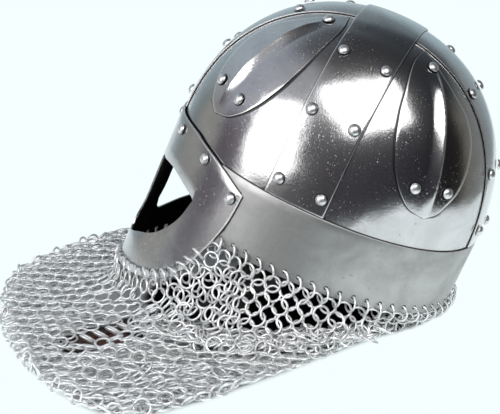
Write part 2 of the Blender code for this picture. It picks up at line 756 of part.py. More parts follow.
def centre_on_surface(root):
    """Moves everything so that the middle of its box is over the origin and its lowest point is at zero."""
    graph = bpy.context.evaluated_depsgraph_get()
    corners = []
    for thing in bpy.data.objects:
        if thing.type == "MESH" and not thing.hide_render:
            solid = thing.evaluated_get(graph)
            corners += [solid.matrix_world @ vertex.co for vertex in solid.data.vertices]
    low = Vector(map(min, *corners))
    high = Vector(map(max, *corners))
    root.location = Vector((-(low.x + high.x) / 2, -(low.y + high.y) / 2, -low.z))


def main():
    clear_scene()
    root = add_empty("rest_origin")
    helmet = add_empty("helmet_axis", root)
    helmet.matrix_local = helmet_to_rest()
    add_panels(helmet)
    add_bands(helmet)
    add_brow_band(helmet)
    add_face_plate(helmet)
    add_leaves(helmet)
    add_rivets(helmet)
    add_mail(root)
    add_chin_strap(root)
    bpy.context.view_layer.update()
    centre_on_surface(root)


main()
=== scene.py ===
"""Steel helmet with a face plate and a mail aventail, tipped back on its spread mail: surfaces, mail and studio.

Metres, +Z up, the face towards -Y and the wearer's left towards +X. Sheets are made in the helmet's own upright
frame, where height zero is the top edge of the brow band, and are then tipped back with it. The mail and the strap
are made as they lie, measured from below the middle of the brow band. Angles round the helmet are in degrees: 0 at
the face, 90 at the wearer's left ear, 180 at the back.
"""
import math

import bpy
import numpy as np
from bpy.props import FloatProperty, FloatVectorProperty, IntProperty, PointerProperty
from bpy.types import Operator, Panel, PropertyGroup
from mathutils import Matrix, Vector


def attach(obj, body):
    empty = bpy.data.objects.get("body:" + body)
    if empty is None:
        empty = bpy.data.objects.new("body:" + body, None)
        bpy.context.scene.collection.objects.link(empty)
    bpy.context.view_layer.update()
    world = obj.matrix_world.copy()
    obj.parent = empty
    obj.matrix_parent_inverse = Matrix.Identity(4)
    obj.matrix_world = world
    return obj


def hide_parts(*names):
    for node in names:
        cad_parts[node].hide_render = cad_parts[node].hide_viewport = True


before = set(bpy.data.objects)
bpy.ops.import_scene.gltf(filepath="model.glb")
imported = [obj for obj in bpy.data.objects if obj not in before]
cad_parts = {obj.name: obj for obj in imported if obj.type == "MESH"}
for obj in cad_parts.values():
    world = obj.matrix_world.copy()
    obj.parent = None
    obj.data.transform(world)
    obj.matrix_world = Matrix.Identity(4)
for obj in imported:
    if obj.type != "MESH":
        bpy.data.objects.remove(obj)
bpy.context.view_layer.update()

bl_info = {
    "name": "Lying helmet with mail",
    "version": (1, 0, 0),
    "blender": (4, 5, 0),
    "location": "View3D > Sidebar > Helmet",
    "description": "Builds the sheets, rivets, mail, strap and studio of a steel helmet",
    "category": "Object",
}

# Skull, on the outer face of the panels
HALF_WIDTH = 0.0973
FRONT_REACH = 0.1190
REAR_REACH = 0.1150
HEIGHT = 0.1255
PLAN_ROUNDNESS = 2.07
DOME_ROUNDNESS = 2.17

# Layers of sheet: lift of the outer face over the panels, and thickness
WALL = 0.0012
BAND_LIFT = 0.00150
CROSSING_LIFT = 0.0030
PLATE_WALL = 0.0014
PLATE_LIFT = 0.0030
LEAF_WALL = 0.0010
LEAF_LIFT = 0.00130
SEAM = 0.0003

CREST_HALF = 0.02085
CROSS_HALF = 0.02255
CROSS_FORWARD = 0.0053
BROW_DEPTH = 0.0519
FACE_DEPTH = 0.129
NASAL_ANGLE = 10.6
EYE_CORNER_ANGLE = 46.8
JAW_CORNER_ANGLE = 61.9
BROW_END_ANGLE = 52.5         # the brow band ends here, behind the face plate
LAP = 0.012                   # how far sheets go on below the brow, behind others
LAP_SHARE = 0.06
PANEL_TOP_ANGLE = 88.8

# How it lies
TIP_BACK = math.radians(23.6)
REST_HEIGHT = 0.1015
BELOW_BROW = Vector((0.0, 0.0673, 0.0))       # point of the floor below the middle of the brow band
ZERO = np.array(BELOW_BROW)
BROW_MIDDLE = BELOW_BROW + Vector((0, 0, REST_HEIGHT))

FACE_COLUMNS = np.array((
    # angle, top edge, top of eye, bottom of eye, bottom edge, as shares of the face depth
    (0.0, 0.022, -0.325, -0.680, -1.000),
    (5.3, 0.024, -0.325, -0.680, -0.997),
    (NASAL_ANGLE, 0.028, -0.325, -0.680, -0.986),
    (12.2, 0.030, -0.285, -0.740, -0.980),
    (14.5, 0.031, -0.262, -0.763, -0.973),
    (18.5, 0.035, -0.255, -0.745, -0.960),
    (24.0, 0.040, -0.238, -0.702, -0.938),
    (29.5, 0.044, -0.229, -0.659, -0.915),
    (34.8, 0.042, -0.236, -0.605, -0.891),
    (39.0, 0.030, -0.248, -0.539, -0.862),
    (42.2, 0.021, -0.260, -0.473, -0.840),
    (44.8, 0.013, -0.272, -0.395, -0.818),
    (46.2, 0.009, -0.279, -0.320, -0.803),
    (EYE_CORNER_ANGLE, 0.007, -0.290, -0.290, -0.797),
    (49.5, -0.003, -0.290, -0.290, -0.764),
    (53.5, -0.020, -0.290, -0.290, -0.690),
    (57.0, -0.037, -0.260, -0.260, -0.593),
    (59.5, -0.052, -0.250, -0.250, -0.516),
    (JAW_CORNER_ANGLE, -0.066, -0.230, -0.230, -0.432),
    (63.2, -0.074, -0.200, -0.200, -0.372),
    (64.8, -0.083, -0.150, -0.150, -0.295),
    (65.9, -0.089, -0.120, -0.120, -0.198),
    (66.5, -0.093, -0.093, -0.093, -0.100),
))

FACE_COLUMN_WIDTH = 0.9
FACE_ROWS = np.array((
    # 0 to 1 from the top edge to the top of the eyes, to 2 at their bottom, to 3 at the bottom edge
    0, 0.25, 0.5, 0.75, 1.0, 1.12, 1.25, 1.38, 1.5, 1.62, 1.75, 1.88, 2.0, 2.2, 2.4, 2.6, 2.8, 3.0,
))

LEAF_FOOT_ELEVATION = 13.2
LEAVES = (
    # name, meridian, side of the steep flank, elevation of the upper tip
    ("leaf_front_left", 37.5, -1, 71.0),
    ("leaf_front_right", -37.5, 1, 71.0),
    ("leaf_rear_left", 137.5, 1, 73.5),
    ("leaf_rear_right", -137.5, -1, 73.5),
)
LEAF_CROSS_SIDE_WIDTH = 0.0330
LEAF_CREST_SIDE_WIDTH = 0.0290
RIB_ASIDE = 0.0013
RIB_FLANKS = ((1, 0.0085, 1.7), (-1, 0.0030, 1.5))       # side, width and steepness: the gentle and the steep one
LEAF_STATIONS = np.array((
    # share of the length, of the width to either side, and of the height of the rib
    (0.000, 0.00, 0.00, 0.00),
    (0.035, 0.36, 0.30, 0.10),
    (0.095, 0.59, 0.51, 0.35),
    (0.190, 0.80, 0.77, 0.70),
    (0.320, 0.95, 0.94, 0.95),
    (0.460, 1.00, 1.00, 1.00),
    (0.605, 0.94, 0.86, 1.00),
    (0.740, 0.77, 0.50, 0.75),
    (0.850, 0.58, 0.25, 0.15),
    (0.940, 0.33, 0.11, 0.00),
    (1.000, 0.00, 0.00, 0.00),
))

CROSS_RIVET_HEIGHTS = (0.0130, 0.0645, 0.1035)
CREST_RIVET_ANGLES = (8.0, 29.0, 57.0)
LEAF_RIVETS = ((0.880, 0.0), (0.175, -6.9), (0.175, 6.4))
PLATE_RIVETS = ((0.0, -0.055), (24.5, -0.022), (44.8, -0.038), (62.3, -0.140))
RIVET_INSET = 0.0062

HOLE_PITCH = 0.0103
HOLE_RISE = 0.0052
WEAR_AND_SHEEN_MARK = 0.01              # the mark "worn" on a sheet's own border, paler for wear and for a painted edge highlight

MAIL_REACH = 0.255
MAIL_HIGH = 0.0088        # middle of the upper layer
MAIL_LOW = 0.0036         # middle of the layer folded under
MAIL_FOLD_DEPTH = 0.026
MAIL_OUTLINE = np.array((
    # angle, share of the reach
    (0.0, 1.000), (15.0, 0.975), (33.0, 0.968), (45.0, 0.984), (55.0, 1.015), (64.0, 1.045), (70.0, 1.060),
    (74.5, 1.040), (78.0, 0.955), (82.0, 0.830), (86.5, 0.700), (92.0, 0.590), (98.0, 0.495), (105.0, 0.430),
    (115.5, 0.366), (128.0, 0.326), (145.0, 0.316), (162.0, 0.320), (180.0, 0.322),
))
MAIL_FAN = np.array((
    # angle round the rim, angle of the outline that it runs out to
    (0.0, 0.0), (30.0, 24.0), (50.0, 42.0), (60.0, 54.0), (66.0, 61.0), (75.0, 69.0), (90.0, 77.0),
    (105.0, 84.5), (112.0, 92.0), (120.0, 103.0), (127.0, 115.5), (135.0, 128.0), (150.0, 145.0),
    (165.0, 162.0), (180.0, 180.0),
))
MAIL_TUCK_ANGLES = (108.0, 134.0)
HEM_MIDDLE = (0.0, -0.035, 0.0)   # the hem is folded under towards it
RING_CLEARANCE = 0.0001
DRAWN_RADIUS = 0.55           # radius of the drawn wire, as a share of the wire's diameter
CORNER_ANGLE = 74.0           # rows of the curtain are drawn together below it
CURTAIN_ROWS = 7
CURTAIN_ROWS_AHEAD = 2        # as many rows as hang from the chin, up to the angle below
CHIN_ANGLE = 52
JAW_SPAN = (50, 66)           # angles from which the mail hangs differently at the side than at the chin
LOOSE_RINGS = 240             # tumbled rings to either side where the curtain meets the floor
LOOSE_SPAN = (50, 128)
LOOSE_SPREAD = (0.007, 0.007, 0.0012)
APRON_SPAN = 0.32             # the rows are laid out so far to either side, and to so many rings ahead and behind
APRON_HALF_ROW = 26
APRON_BACK = 0.06
APRON_SLOPE = 0.020           # how fast the mail comes down ahead of the chin
LAYER_FROM_HEM = 0.004        # the second layer starts here from the hem, the rim and the opened fold
LAYER_FROM_RIM = 0.024
LAYER_ROUND_FOLD = 1.45
LAYER_SHIFT = (0.55, 0.45)    # of the second layer, as shares of row and pitch
FOLD_CENTRE = (0.128, -0.137)
FOLD_HALF = (0.031, 0.0135)
FOLD_TURN = math.radians(-30.0)
FOLD_PAIRS = (-0.021, -0.010, 0.002, 0.0135)      # places along the fold of the pairs of rings across it
FOLD_RING_HEIGHT = 0.0082

STRAP_WIDTH = 0.018
STRAP_THICKNESS = 0.0024
STRAP_LYING = 0.0016
STRAP_ROUTE = (
    # towards the wearer's left, forward, up
    (0.0926, 0.006, 0.118), (0.0900, 0.024, 0.086), (0.0830, 0.042, 0.048), (0.0770, 0.058, 0.017),
    (0.0810, 0.082, STRAP_LYING), (0.0960, 0.112, STRAP_LYING), (0.1240, 0.134, STRAP_LYING),
    (0.1400, 0.144, STRAP_LYING), (0.1380, 0.157, STRAP_LYING), (0.1160, 0.155, STRAP_LYING),
    (0.0800, 0.130, STRAP_LYING), (0.0420, 0.096, STRAP_LYING), (0.0000, 0.066, STRAP_LYING),
    (-0.0400, 0.050, STRAP_LYING), (-0.0680, 0.044, 0.006), (-0.0830, 0.038, 0.034), (-0.0895, 0.024, 0.078),
    (-0.0926, 0.006, 0.118),
)

# Camera, solved from the photograph: azimuth from straight ahead of the left ear, elevation and distance
CAMERA_SIDE = math.radians(13.42)
CAMERA_RISE = math.radians(14.47)
CAMERA_DISTANCE = 1.32305
FOCAL_PIXELS = 1779.5
PICTURE = (500, 414)
BROW_PIXEL = (332.47, 174.50)
SENSOR_WIDTH = 36.0
LIGHT_DISTANCE = 1.7
LIGHT_BRIGHTNESS = 4.2
PALE = (0.913, 1.0, 1.0)


def length(name, description, default):
    return FloatProperty(name=name, description=description, default=default, unit="LENGTH")


def colour(name, description, *default):
    return FloatVectorProperty(name=name, description=description, default=default, subtype="COLOR")


class HelmetSheets(PropertyGroup):
    edge: length("Edge", "Width of the broken edge of every sheet", 0.00045)
    rib: length("Rib", "Height of the rib of a leaf", 0.0030)
    rivet_radius: length("Rivet radius", "Radius of a rivet's head", 0.0040)
    rivet_height: length("Rivet height", "Height of a rivet's head", 0.0027)
    hole_radius: length("Hole radius", "Radius of a hole for the mail", 0.0017)


class HelmetMail(PropertyGroup):
    ring: length("Ring", "Outside diameter of a ring", 0.0130)
    wire: length("Wire", "Diameter of the wire", 0.0018)
    pitch: length("Pitch", "Distance from ring to ring in a row", 0.0107)
    row: length("Row", "Distance from row to row", 0.0084)
    lean: FloatProperty(name="Lean", description="Lean of the rings, to one side and the other row by row",
                        default=math.radians(11), subtype="ANGLE")
    seed: IntProperty(name="Seed", description="Start of the small irregularities", default=7)


class HelmetFinish(PropertyGroup):
    polished: colour("Polished steel", "Colour of the polished sheets", 0.56, 0.555, 0.56)
    satin: colour("Satin steel", "Colour of the brow band", 0.42, 0.42, 0.415)
    inside: colour("Inside", "Lightest colour of the inner faces", 0.006, 0.0055, 0.0055)
    rivets: colour("Rivets", "Colour of the rivets", 0.74, 0.74, 0.74)
    mail: colour("Mail", "Colour of the plated rings", 0.92, 0.93, 0.93)
    leather: colour("Leather", "Colour of the strap", 0.11, 0.035, 0.022)
    floor: colour("Floor", "Colour of the floor", 0.90, 0.97, 0.97)


# Curves through tables

def smooth_table(table, where, column=1):
    """Values of a column at places in the first column, on a smooth curve that keeps between its points."""
    x, y = table[:, 0], table[:, column]
    step, slope = np.diff(x), np.diff(y) / np.diff(x)
    tangent = np.zeros_like(y)
    both = slope[:-1] * slope[1:] > 0
    left, right = 2 * step[1:] + step[:-1], step[1:] + 2 * step[:-1]
    with np.errstate(divide="ignore", invalid="ignore"):
        mean = (left + right) / (left / slope[:-1] + right / slope[1:])
    tangent[1:-1] = np.where(both, mean, 0.0)
    tangent[0], tangent[-1] = slope[0], slope[-1]
    where = np.clip(where, x[0], x[-1])
    i = np.clip(np.searchsorted(x, where, side="right") - 1, 0, len(x) - 2)
    t = (where - x[i]) / step[i]
    return ((1 + 2 * t) * (1 - t) ** 2 * y[i] + t * (1 - t) ** 2 * step[i] * tangent[i]
            + t * t * (3 - 2 * t) * y[i + 1] + t * t * (t - 1) * step[i] * tangent[i + 1])


def smooth_step(low, high, value):
    share = np.clip((value - low) / (high - low), 0.0, 1.0)
    return share * share * (3 - 2 * share)


# Skull surface, for arrays of points in the helmet's frame

def points(x, y, z):
    return np.stack(np.broadcast_arrays(x, y, z), axis=-1).astype(float)


def directions(vectors):
    return vectors / np.linalg.norm(vectors, axis=-1, keepdims=True)


def plan_level(p):
    reach = np.where(p[..., 1] < 0, FRONT_REACH, REAR_REACH)
    return np.abs(p[..., 0] / HALF_WIDTH) ** PLAN_ROUNDNESS + np.abs(p[..., 1] / reach) ** PLAN_ROUNDNESS


def skull_level(p):
    """Below 1 inside the skull, 1 on it. Its wall is upright below the brow."""
    dome = np.maximum(p[..., 2], 0.0) / HEIGHT
    return plan_level(p) ** (DOME_ROUNDNESS / PLAN_ROUNDNESS) + dome ** DOME_ROUNDNESS


def on_ray(start, direction):
    """Where rays from inside the skull meet it."""
    near = np.zeros(np.broadcast_shapes(start.shape, direction.shape)[:-1])
    far = np.full_like(near, 0.4)
    for _ in range(38):
        middle = (near + far) / 2
        inside = skull_level(start + direction * middle[..., None]) < 1
        near = np.where(inside, middle, near)
        far = np.where(inside, far, middle)
    return start + direction * near[..., None]


def skull_normal(p):
    reach = np.where(p[..., 1] < 0, FRONT_REACH, REAR_REACH)
    plan = np.maximum(plan_level(p), 1e-9) ** (DOME_ROUNDNESS / PLAN_ROUNDNESS - 1)
    power = PLAN_ROUNDNESS - 1
    across = plan * np.abs(p[..., 0] / HALF_WIDTH) ** power / HALF_WIDTH * np.sign(p[..., 0])
    along = plan * np.abs(p[..., 1] / reach) ** power / reach * np.sign(p[..., 1])
    rise = (np.maximum(p[..., 2], 0) / HEIGHT) ** (DOME_ROUNDNESS - 1) / HEIGHT
    return directions(points(across, along, rise))


def lifted(p, lift):
    return p + skull_normal(p) * np.broadcast_to(lift, p.shape[:-1])[..., None]


def half_turn(angle):
    """The same angle between -180 and 180."""
    return (angle + 180) % 360 - 180


def round_direction(angle):
    angle = np.radians(angle)
    return points(np.sin(angle), -np.cos(angle), 0.0)


def wall_point(angle, height, lift):
    """Points of the upright wall, or of its straight continuation, at angles round it."""
    direction = round_direction(angle)
    p = lifted(direction * (plan_level(direction) ** (-1 / PLAN_ROUNDNESS))[..., None], lift)
    p[..., 2] = height
    return p


def plate_point(angle, height, lift):
    """On the wall, with the lower middle of the face plate standing a little forward."""
    low = smooth_step(0.55 * FACE_DEPTH, 0.80 * FACE_DEPTH, -height)
    bulge = 0.0026 * low * (1 - smooth_step(18.0, 50.0, np.abs(angle)))
    return wall_point(angle, height, lift + bulge)


def tipped():
    """From the upright helmet to the helmet as it lies."""
    return Matrix.Translation(BROW_MIDDLE) @ Matrix.Rotation(-TIP_BACK, 4, "X")


def as_it_lies(p):
    turn = np.array(tipped())
    return p @ turn[:3, :3].T + turn[:3, 3]


# Modelling steps

def deselect():
    if bpy.context.mode != "OBJECT":
        bpy.ops.object.mode_set(mode="OBJECT")
    bpy.ops.object.select_all(action="DESELECT")


def pick(piece):
    deselect()
    piece.select_set(True)
    bpy.context.view_layer.objects.active = piece


def get_points(mesh):
    flat = np.empty(len(mesh.vertices) * 3)
    mesh.vertices.foreach_get("co", flat)
    return flat.reshape(-1, 3)


def set_points(mesh, p):
    mesh.vertices.foreach_set("co", np.asarray(p, dtype=float).ravel())
    mesh.update()


def laid_grid(name, columns, rows, place):
    """A flat grid primitive whose points are laid on a surface by their two shares, from 0 to 1."""
    deselect()
    bpy.ops.mesh.primitive_grid_add(x_subdivisions=columns, y_subdivisions=rows, size=2.0)
    piece = bpy.context.object
    piece.name = piece.data.name = name
    flat = get_points(piece.data)
    set_points(piece.data, place((flat[:, 0] + 1) / 2, (flat[:, 1] + 1) / 2))
    return piece


def edit(piece, *steps):
    """Runs mesh operators on the whole of a piece, each with its settings."""
    pick(piece)
    bpy.ops.object.mode_set(mode="EDIT")
    for step, settings in steps:
        bpy.ops.mesh.select_all(action="SELECT")
        step(**settings)
    bpy.ops.object.mode_set(mode="OBJECT")


def merge_and_face_out(piece, middle):
    """Merges the points of poles and seams, and turns the faces away from a point inside the helmet."""
    edit(piece, (bpy.ops.mesh.remove_doubles, {"threshold": 0.00001}),
         (bpy.ops.mesh.normals_make_consistent, {"inside": False}))
    if sum((face.center - middle).dot(face.normal) * face.area for face in piece.data.polygons) < 0:
        edit(piece, (bpy.ops.mesh.flip_normals, {}))


def apply_modifier(piece, kind, **settings):
    pick(piece)
    modifier = piece.modifiers.new(kind.lower(), kind)
    for key, value in settings.items():
        setattr(modifier, key, value)
    bpy.ops.object.modifier_apply(modifier=modifier.name)


def make_wall(piece, thickness, edge, inner_slot=0):
    """Gives a laid sheet its thickness behind its face, and breaks its edges."""
    merge_and_face_out(piece, BROW_MIDDLE)
    for _ in range(inner_slot + 1):
        piece.data.materials.append(None)
    apply_modifier(piece, "SOLIDIFY", thickness=thickness, offset=-1.0, use_even_offset=True,
                   material_offset=inner_slot)
    apply_modifier(piece, "BEVEL", width=edge, segments=2, limit_method="ANGLE", angle_limit=math.radians(55))
    smooth(piece)


def smooth(piece, angle=28):
    pick(piece)
    bpy.ops.object.shade_smooth_by_angle(angle=math.radians(angle))


def joined(pieces):
    deselect()
    for piece in pieces:
        piece.select_set(True)
    bpy.context.view_layer.objects.active = pieces[0]
    bpy.ops.object.join()
    return bpy.context.object


def drill(piece, places):
    """Cuts a row of small round holes. Each place is a point of the wall and the way out of it."""
    deselect()
    radius = bpy.context.scene.helmet_sheets.hole_radius
    bars = []
    for point, outward in places:
        bpy.ops.mesh.primitive_cylinder_add(vertices=12, radius=radius, depth=0.012, location=point,
                                            rotation=Vector(outward).to_track_quat("Z", "Y").to_euler())
        bars.append(bpy.context.object)
    cutter = joined(bars)
    apply_modifier(piece, "BOOLEAN", operation="DIFFERENCE", solver="EXACT", object=cutter)
    pick(cutter)
    bpy.ops.object.delete()


# Bands, rim and leaves in the helmet's frame

def end_angle(foot, forward, height):
    start = foot.copy()
    start[..., 2] = height
    reach = np.linalg.norm(on_ray(start, np.broadcast_to(forward, start.shape)) - start, axis=-1)
    return np.arctan2(height, reach)


def band_point(s, t, across, along, middle, half, first_height, last_height):
    """Points over the crown: s runs from one end to the other, t from edge to edge."""
    foot = middle + across * (half * (2 * t - 1))[:, None]
    first = end_angle(foot, along, first_height)
    last = math.pi - end_angle(foot, -along, last_height)
    angle = first + (last - first) * s
    direction = along * np.cos(angle)[:, None] + points(0, 0, np.sin(angle))
    return on_ray(foot, direction)


def crossing_lift(p):
    edge = CREST_HALF + WALL
    return CROSSING_LIFT - (CROSSING_LIFT - BAND_LIFT) * smooth_step(edge, edge + 0.018, np.abs(p[..., 0]))


def brow_top(y):
    return 0.019 * y


def brow_rim(y):
    return -BROW_DEPTH + 0.024 * y


def rim_point(angle):
    """Middle of the wall's lower edge at angles round the helmet, in the helmet's frame."""
    angle = np.atleast_1d(np.asarray(angle, dtype=float))
    turned = half_turn(angle)
    height = FACE_DEPTH * smooth_table(FACE_COLUMNS, np.abs(turned), 4)
    front = plate_point(turned, height, PLATE_LIFT - PLATE_WALL / 2)
    side = wall_point(turned, 0.0, BAND_LIFT - WALL / 2)
    side[..., 2] = brow_rim(side[..., 1])
    return np.where((np.abs(turned) <= JAW_CORNER_ANGLE)[..., None], front, side)


def rim_walk(first, last, pitch):
    """Angles at which the rim's length goes up in equal steps of about the pitch."""
    angles = np.linspace(first, last, 721)
    lengths = np.concatenate(([0.0], np.cumsum(np.linalg.norm(np.diff(rim_point(angles), axis=0), axis=1))))
    steps = max(1, round(lengths[-1] / pitch))
    return np.interp(np.linspace(0, lengths[-1], steps + 1), lengths, angles)


def rim_frame(angle):
    """Point of the rim, the way along it, the way out and the way up, all as the helmet lies."""
    before, here, after = (as_it_lies(rim_point(angle + step))[0] for step in (-0.4, 0.0, 0.4))
    along = Vector(after - before).normalized()
    turn = np.array(tipped())[:3, :3]
    outward = Vector(turn @ skull_normal(wall_point(np.array([angle]), 0.0, 0.0))[0]).normalized()
    up = along.cross(outward)
    if up.z < 0:
        up = -up
    return Vector(here), along, outward, up.normalized()


BROW_FIRST_HOLE = JAW_CORNER_ANGLE + math.degrees(HOLE_RISE / HALF_WIDTH)
PLATE_LAST_HOLE = JAW_CORNER_ANGLE - math.degrees(HOLE_RISE / HALF_WIDTH)


def brow_holes():
    return rim_walk(BROW_FIRST_HOLE, 360 - BROW_FIRST_HOLE, HOLE_PITCH)


def plate_holes():
    return rim_walk(-PLATE_LAST_HOLE, PLATE_LAST_HOLE, HOLE_PITCH)


def hole_places(angles):
    for angle in angles:
        here, _, outward, up = rim_frame(angle)
        yield here + up * HOLE_RISE, outward


def leaf_direction(meridian, elevation, aside):
    level, sideways = round_direction(meridian), round_direction(meridian + 90)
    rise, turn = np.radians(elevation)[..., None], np.asarray(aside)[..., None]
    return (level * np.cos(rise) + points(0, 0, 1.0) * np.sin(rise)) * np.cos(turn) + sideways * np.sin(turn)


def leaf_place(meridian, steep_side, tip, rib_height):
    def place(s, t):
        elevation = LEAF_FOOT_ELEVATION + (tip - LEAF_FOOT_ELEVATION) * s
        cross = LEAF_CROSS_SIDE_WIDTH * smooth_table(LEAF_STATIONS, s, 1)
        crest = LEAF_CREST_SIDE_WIDTH * smooth_table(LEAF_STATIONS, s, 2)
        rib = smooth_table(LEAF_STATIONS, s, 3)
        aside = (crest - cross) / 2 + (crest + cross) / 2 * (0.3 * (2 * t - 1) + 0.7 * (2 * t - 1) ** 3)
        gentle, steep = (np.clip(1 + sign * (aside - RIB_ASIDE) / width, 0, 1) ** power
                         for sign, width, power in RIB_FLANKS)
        ridge = np.where(aside < RIB_ASIDE, gentle, steep)
        reach = np.linalg.norm(on_ray(points(0, 0, 0.0 * s), leaf_direction(meridian, elevation, 0 * s)), axis=-1)
        turn = np.arcsin(aside / reach) * steep_side
        p = on_ray(points(0, 0, 0.0 * s), leaf_direction(meridian, elevation, turn))
        return as_it_lies(lifted(p, LEAF_LIFT + rib_height * ridge * rib))
    return place


# Signed distances to the edge of what covers a sheet, negative under it, for the painted shadow line that shows
# there

def leaf_gap(p):
    nearest = np.full(len(p), 1.0)
    reach = np.linalg.norm(p, axis=1)
    for _, meridian, steep_side, tip in LEAVES:
        ahead, sideways = p @ round_direction(meridian), p @ round_direction(meridian + 90)
        share = (np.degrees(np.arctan2(p[:, 2], ahead)) - LEAF_FOOT_ELEVATION) / (tip - LEAF_FOOT_ELEVATION)
        length = reach * math.radians(tip - LEAF_FOOT_ELEVATION)
        aside = reach * np.arcsin(sideways / reach) * steep_side
        gap = np.full(len(p), -1.0)
        # The painted shadow line is wider towards the crest, the side away from the light where the leaf's shadow
        # lies and its edge stands in front of it
        for sign, column, width, share_shown in ((-1, 1, LEAF_CROSS_SIDE_WIDTH, 1.0),
                                                 (1, 2, LEAF_CREST_SIDE_WIDTH, 0.36)):
            edge = width * smooth_table(LEAF_STATIONS, share, column)
            change = width * (smooth_table(LEAF_STATIONS, share + 0.01, column)
                              - smooth_table(LEAF_STATIONS, share - 0.01, column)) / (0.02 * length)
            gap = np.maximum(gap, (sign * aside - edge) / np.sqrt(1 + change ** 2) * share_shown)
        beyond = np.maximum(np.maximum(-share, share - 1), 0) * length
        gap = np.where(beyond > 0, np.hypot(beyond, np.maximum(gap, 0)), gap)
        nearest = np.minimum(nearest, np.where((ahead > 0) & (p[:, 2] > 0), gap, 1.0))
    return nearest


def plate_gap(p):
    angle = np.abs(np.degrees(np.arctan2(p[:, 0], -p[:, 1])))
    marks, arc = FACE_COLUMNS[:, 0], math.radians(1) * HALF_WIDTH
    gap = (angle - marks[-1]) * arc
    for side, column in ((1, 1), (-1, 4)):
        lean = np.interp(angle, marks, np.gradient(FACE_COLUMNS[:, column], marks) * FACE_DEPTH / arc)
        beyond = side * (p[:, 2] - FACE_DEPTH * smooth_table(FACE_COLUMNS, angle, column))
        gap = np.maximum(gap, beyond / np.sqrt(1 + lean ** 2))
    return gap


def crest_gap(p):
    return np.abs(p[:, 0]) - CREST_HALF


def cross_gap(p):
    return np.abs(p[:, 1] + CROSS_FORWARD) - CROSS_HALF


def brow_gap(p):
    return p[:, 2] - brow_top(p[:, 1])


def rivet_gap(row):
    def gap(p):
        radius = bpy.context.scene.helmet_sheets.rivet_radius
        seats = np.array([place for place, _ in rivet_seats()[row]])
        return np.linalg.norm(p[:, None] - seats[None], axis=2).min(axis=1) - radius
    return gap


def mark(piece, name, values, upright=True):
    """Keeps a value of each point for its material, from its place in the helmet's frame or as it lies."""
    p = get_points(piece.data)
    if upright:
        turn = np.linalg.inv(np.array(tipped()))
        p = p @ turn[:3, :3].T + turn[:3, 3]
    piece.data.attributes.new(name, "FLOAT", "POINT").data.foreach_set("value", values(p).astype(np.float32))


# Mail, in the frame whose zero is below the middle of the brow band

def outline_point(heading):
    heading = np.asarray(heading, dtype=float)
    turned = half_turn(heading)
    share = smooth_table(MAIL_OUTLINE, np.abs(turned))
    return round_direction(turned) * (MAIL_REACH * share)[..., None]


def curtain_path(angle):
    """Points of the mail's way down from the rim and out over the floor, at one angle round the rim."""
    turned = half_turn(angle)
    side = 1 if turned >= 0 else -1
    start = as_it_lies(rim_point(angle))[0] - ZERO
    heading = side * np.interp(abs(turned), MAIL_FAN[:, 0], MAIL_FAN[:, 1])
    edge = outline_point(heading)
    inward = np.array(HEM_MIDDLE) - edge
    inward /= np.linalg.norm(inward)
    tucked = float(smooth_step(*MAIL_TUCK_ANGLES, abs(turned)))
    flat = start * (1, 1, 0)
    share = np.linspace(0, 1, 60) ** 1.6
    drop = np.exp(-share * 15.0) * (1 - tucked) + (1 - share) * tucked
    high = MAIL_HIGH + 0.0012 - (MAIL_HIGH - MAIL_LOW) * tucked
    path = flat + (edge - flat) * share[:, None]
    path[:, 2] = high + (start[2] - high) * drop
    if tucked > 0.5:
        under = edge + inward * np.linspace(0.002, MAIL_FOLD_DEPTH, 14)[:, None]
        under[:, 2] = MAIL_LOW
        path = np.concatenate((path, under))
    return path


def along_path(path, length):
    steps = np.concatenate(([0.0], np.cumsum(np.linalg.norm(np.diff(path, axis=0), axis=1))))
    here = np.array([np.interp(length, steps, path[:, k]) for k in range(3)])
    return here, length <= steps[-1]


def unit(vector):
    return vector / max(np.linalg.norm(vector), 1e-9)


def ring_axes(row_axis, down, normal, lean, twist, roll):
    """Axes of a ring that lies in a sheet: leaning about its row, twisted about the sheet's normal."""
    x = unit(row_axis * math.cos(twist) + down * math.sin(twist))
    y = unit(np.cross(normal, x))
    y, z = y * math.cos(lean) + normal * math.sin(lean), normal * math.cos(lean) - y * math.sin(lean)
    x, z = x * math.cos(roll) + z * math.sin(roll), z * math.cos(roll) - x * math.sin(roll)
    return x, y, z


def ring_reach(mail, x, y):
    """How far a ring reaches below its middle, with a hair's breadth to spare."""
    return math.hypot(x[2], y[2]) * (mail.ring - mail.wire) / 2 + mail.wire * DRAWN_RADIUS + RING_CLEARANCE


def hook_rings(mail, rng, angles):
    """One ring through each hole, tilted out until it clears the floor. Its turn and lean depend on the side."""
    for angle in angles:
        here, along, outward, up = (np.array(v) for v in rim_frame(angle))
        from_front = abs(half_turn(angle))
        side = 1 if angle < 180 else -1
        ahead, before_back = (1 - float(smooth_step(*span, from_front)) for span in ((48, 66), (96, 124)))
        turn = side * math.radians(rng.uniform(8, 30) + 42 * ahead
                                   + 38 * float(smooth_step(58, 72, from_front)) * before_back)
        aside = along * (0.9 * (1 - float(smooth_step(*JAW_SPAN, from_front))) * side)
        for forward in np.arange(rng.uniform(-0.1, 0.2), 6.0, 0.15):
            y = unit(outward * forward + aside - up)
            x = unit(outward * math.cos(turn) + along * math.sin(turn))
            x = unit(x - y * (x @ y))
            centre = here - ZERO + up * HOLE_RISE + y * (mail.ring - mail.wire) / 2
            if centre[2] > ring_reach(mail, x, y):
                break
        yield centre, x, y, np.cross(x, y)


def drawn_together(angle, row):
    turned = half_turn(angle)
    from_corner = abs(turned) - CORNER_ANGLE
    pull = 0.50 * float(smooth_step(0.4, 2.6, row)) * math.exp(-(from_corner / 20.0) ** 2)
    return math.copysign(CORNER_ANGLE + from_corner * (1 - pull), turned) % 360


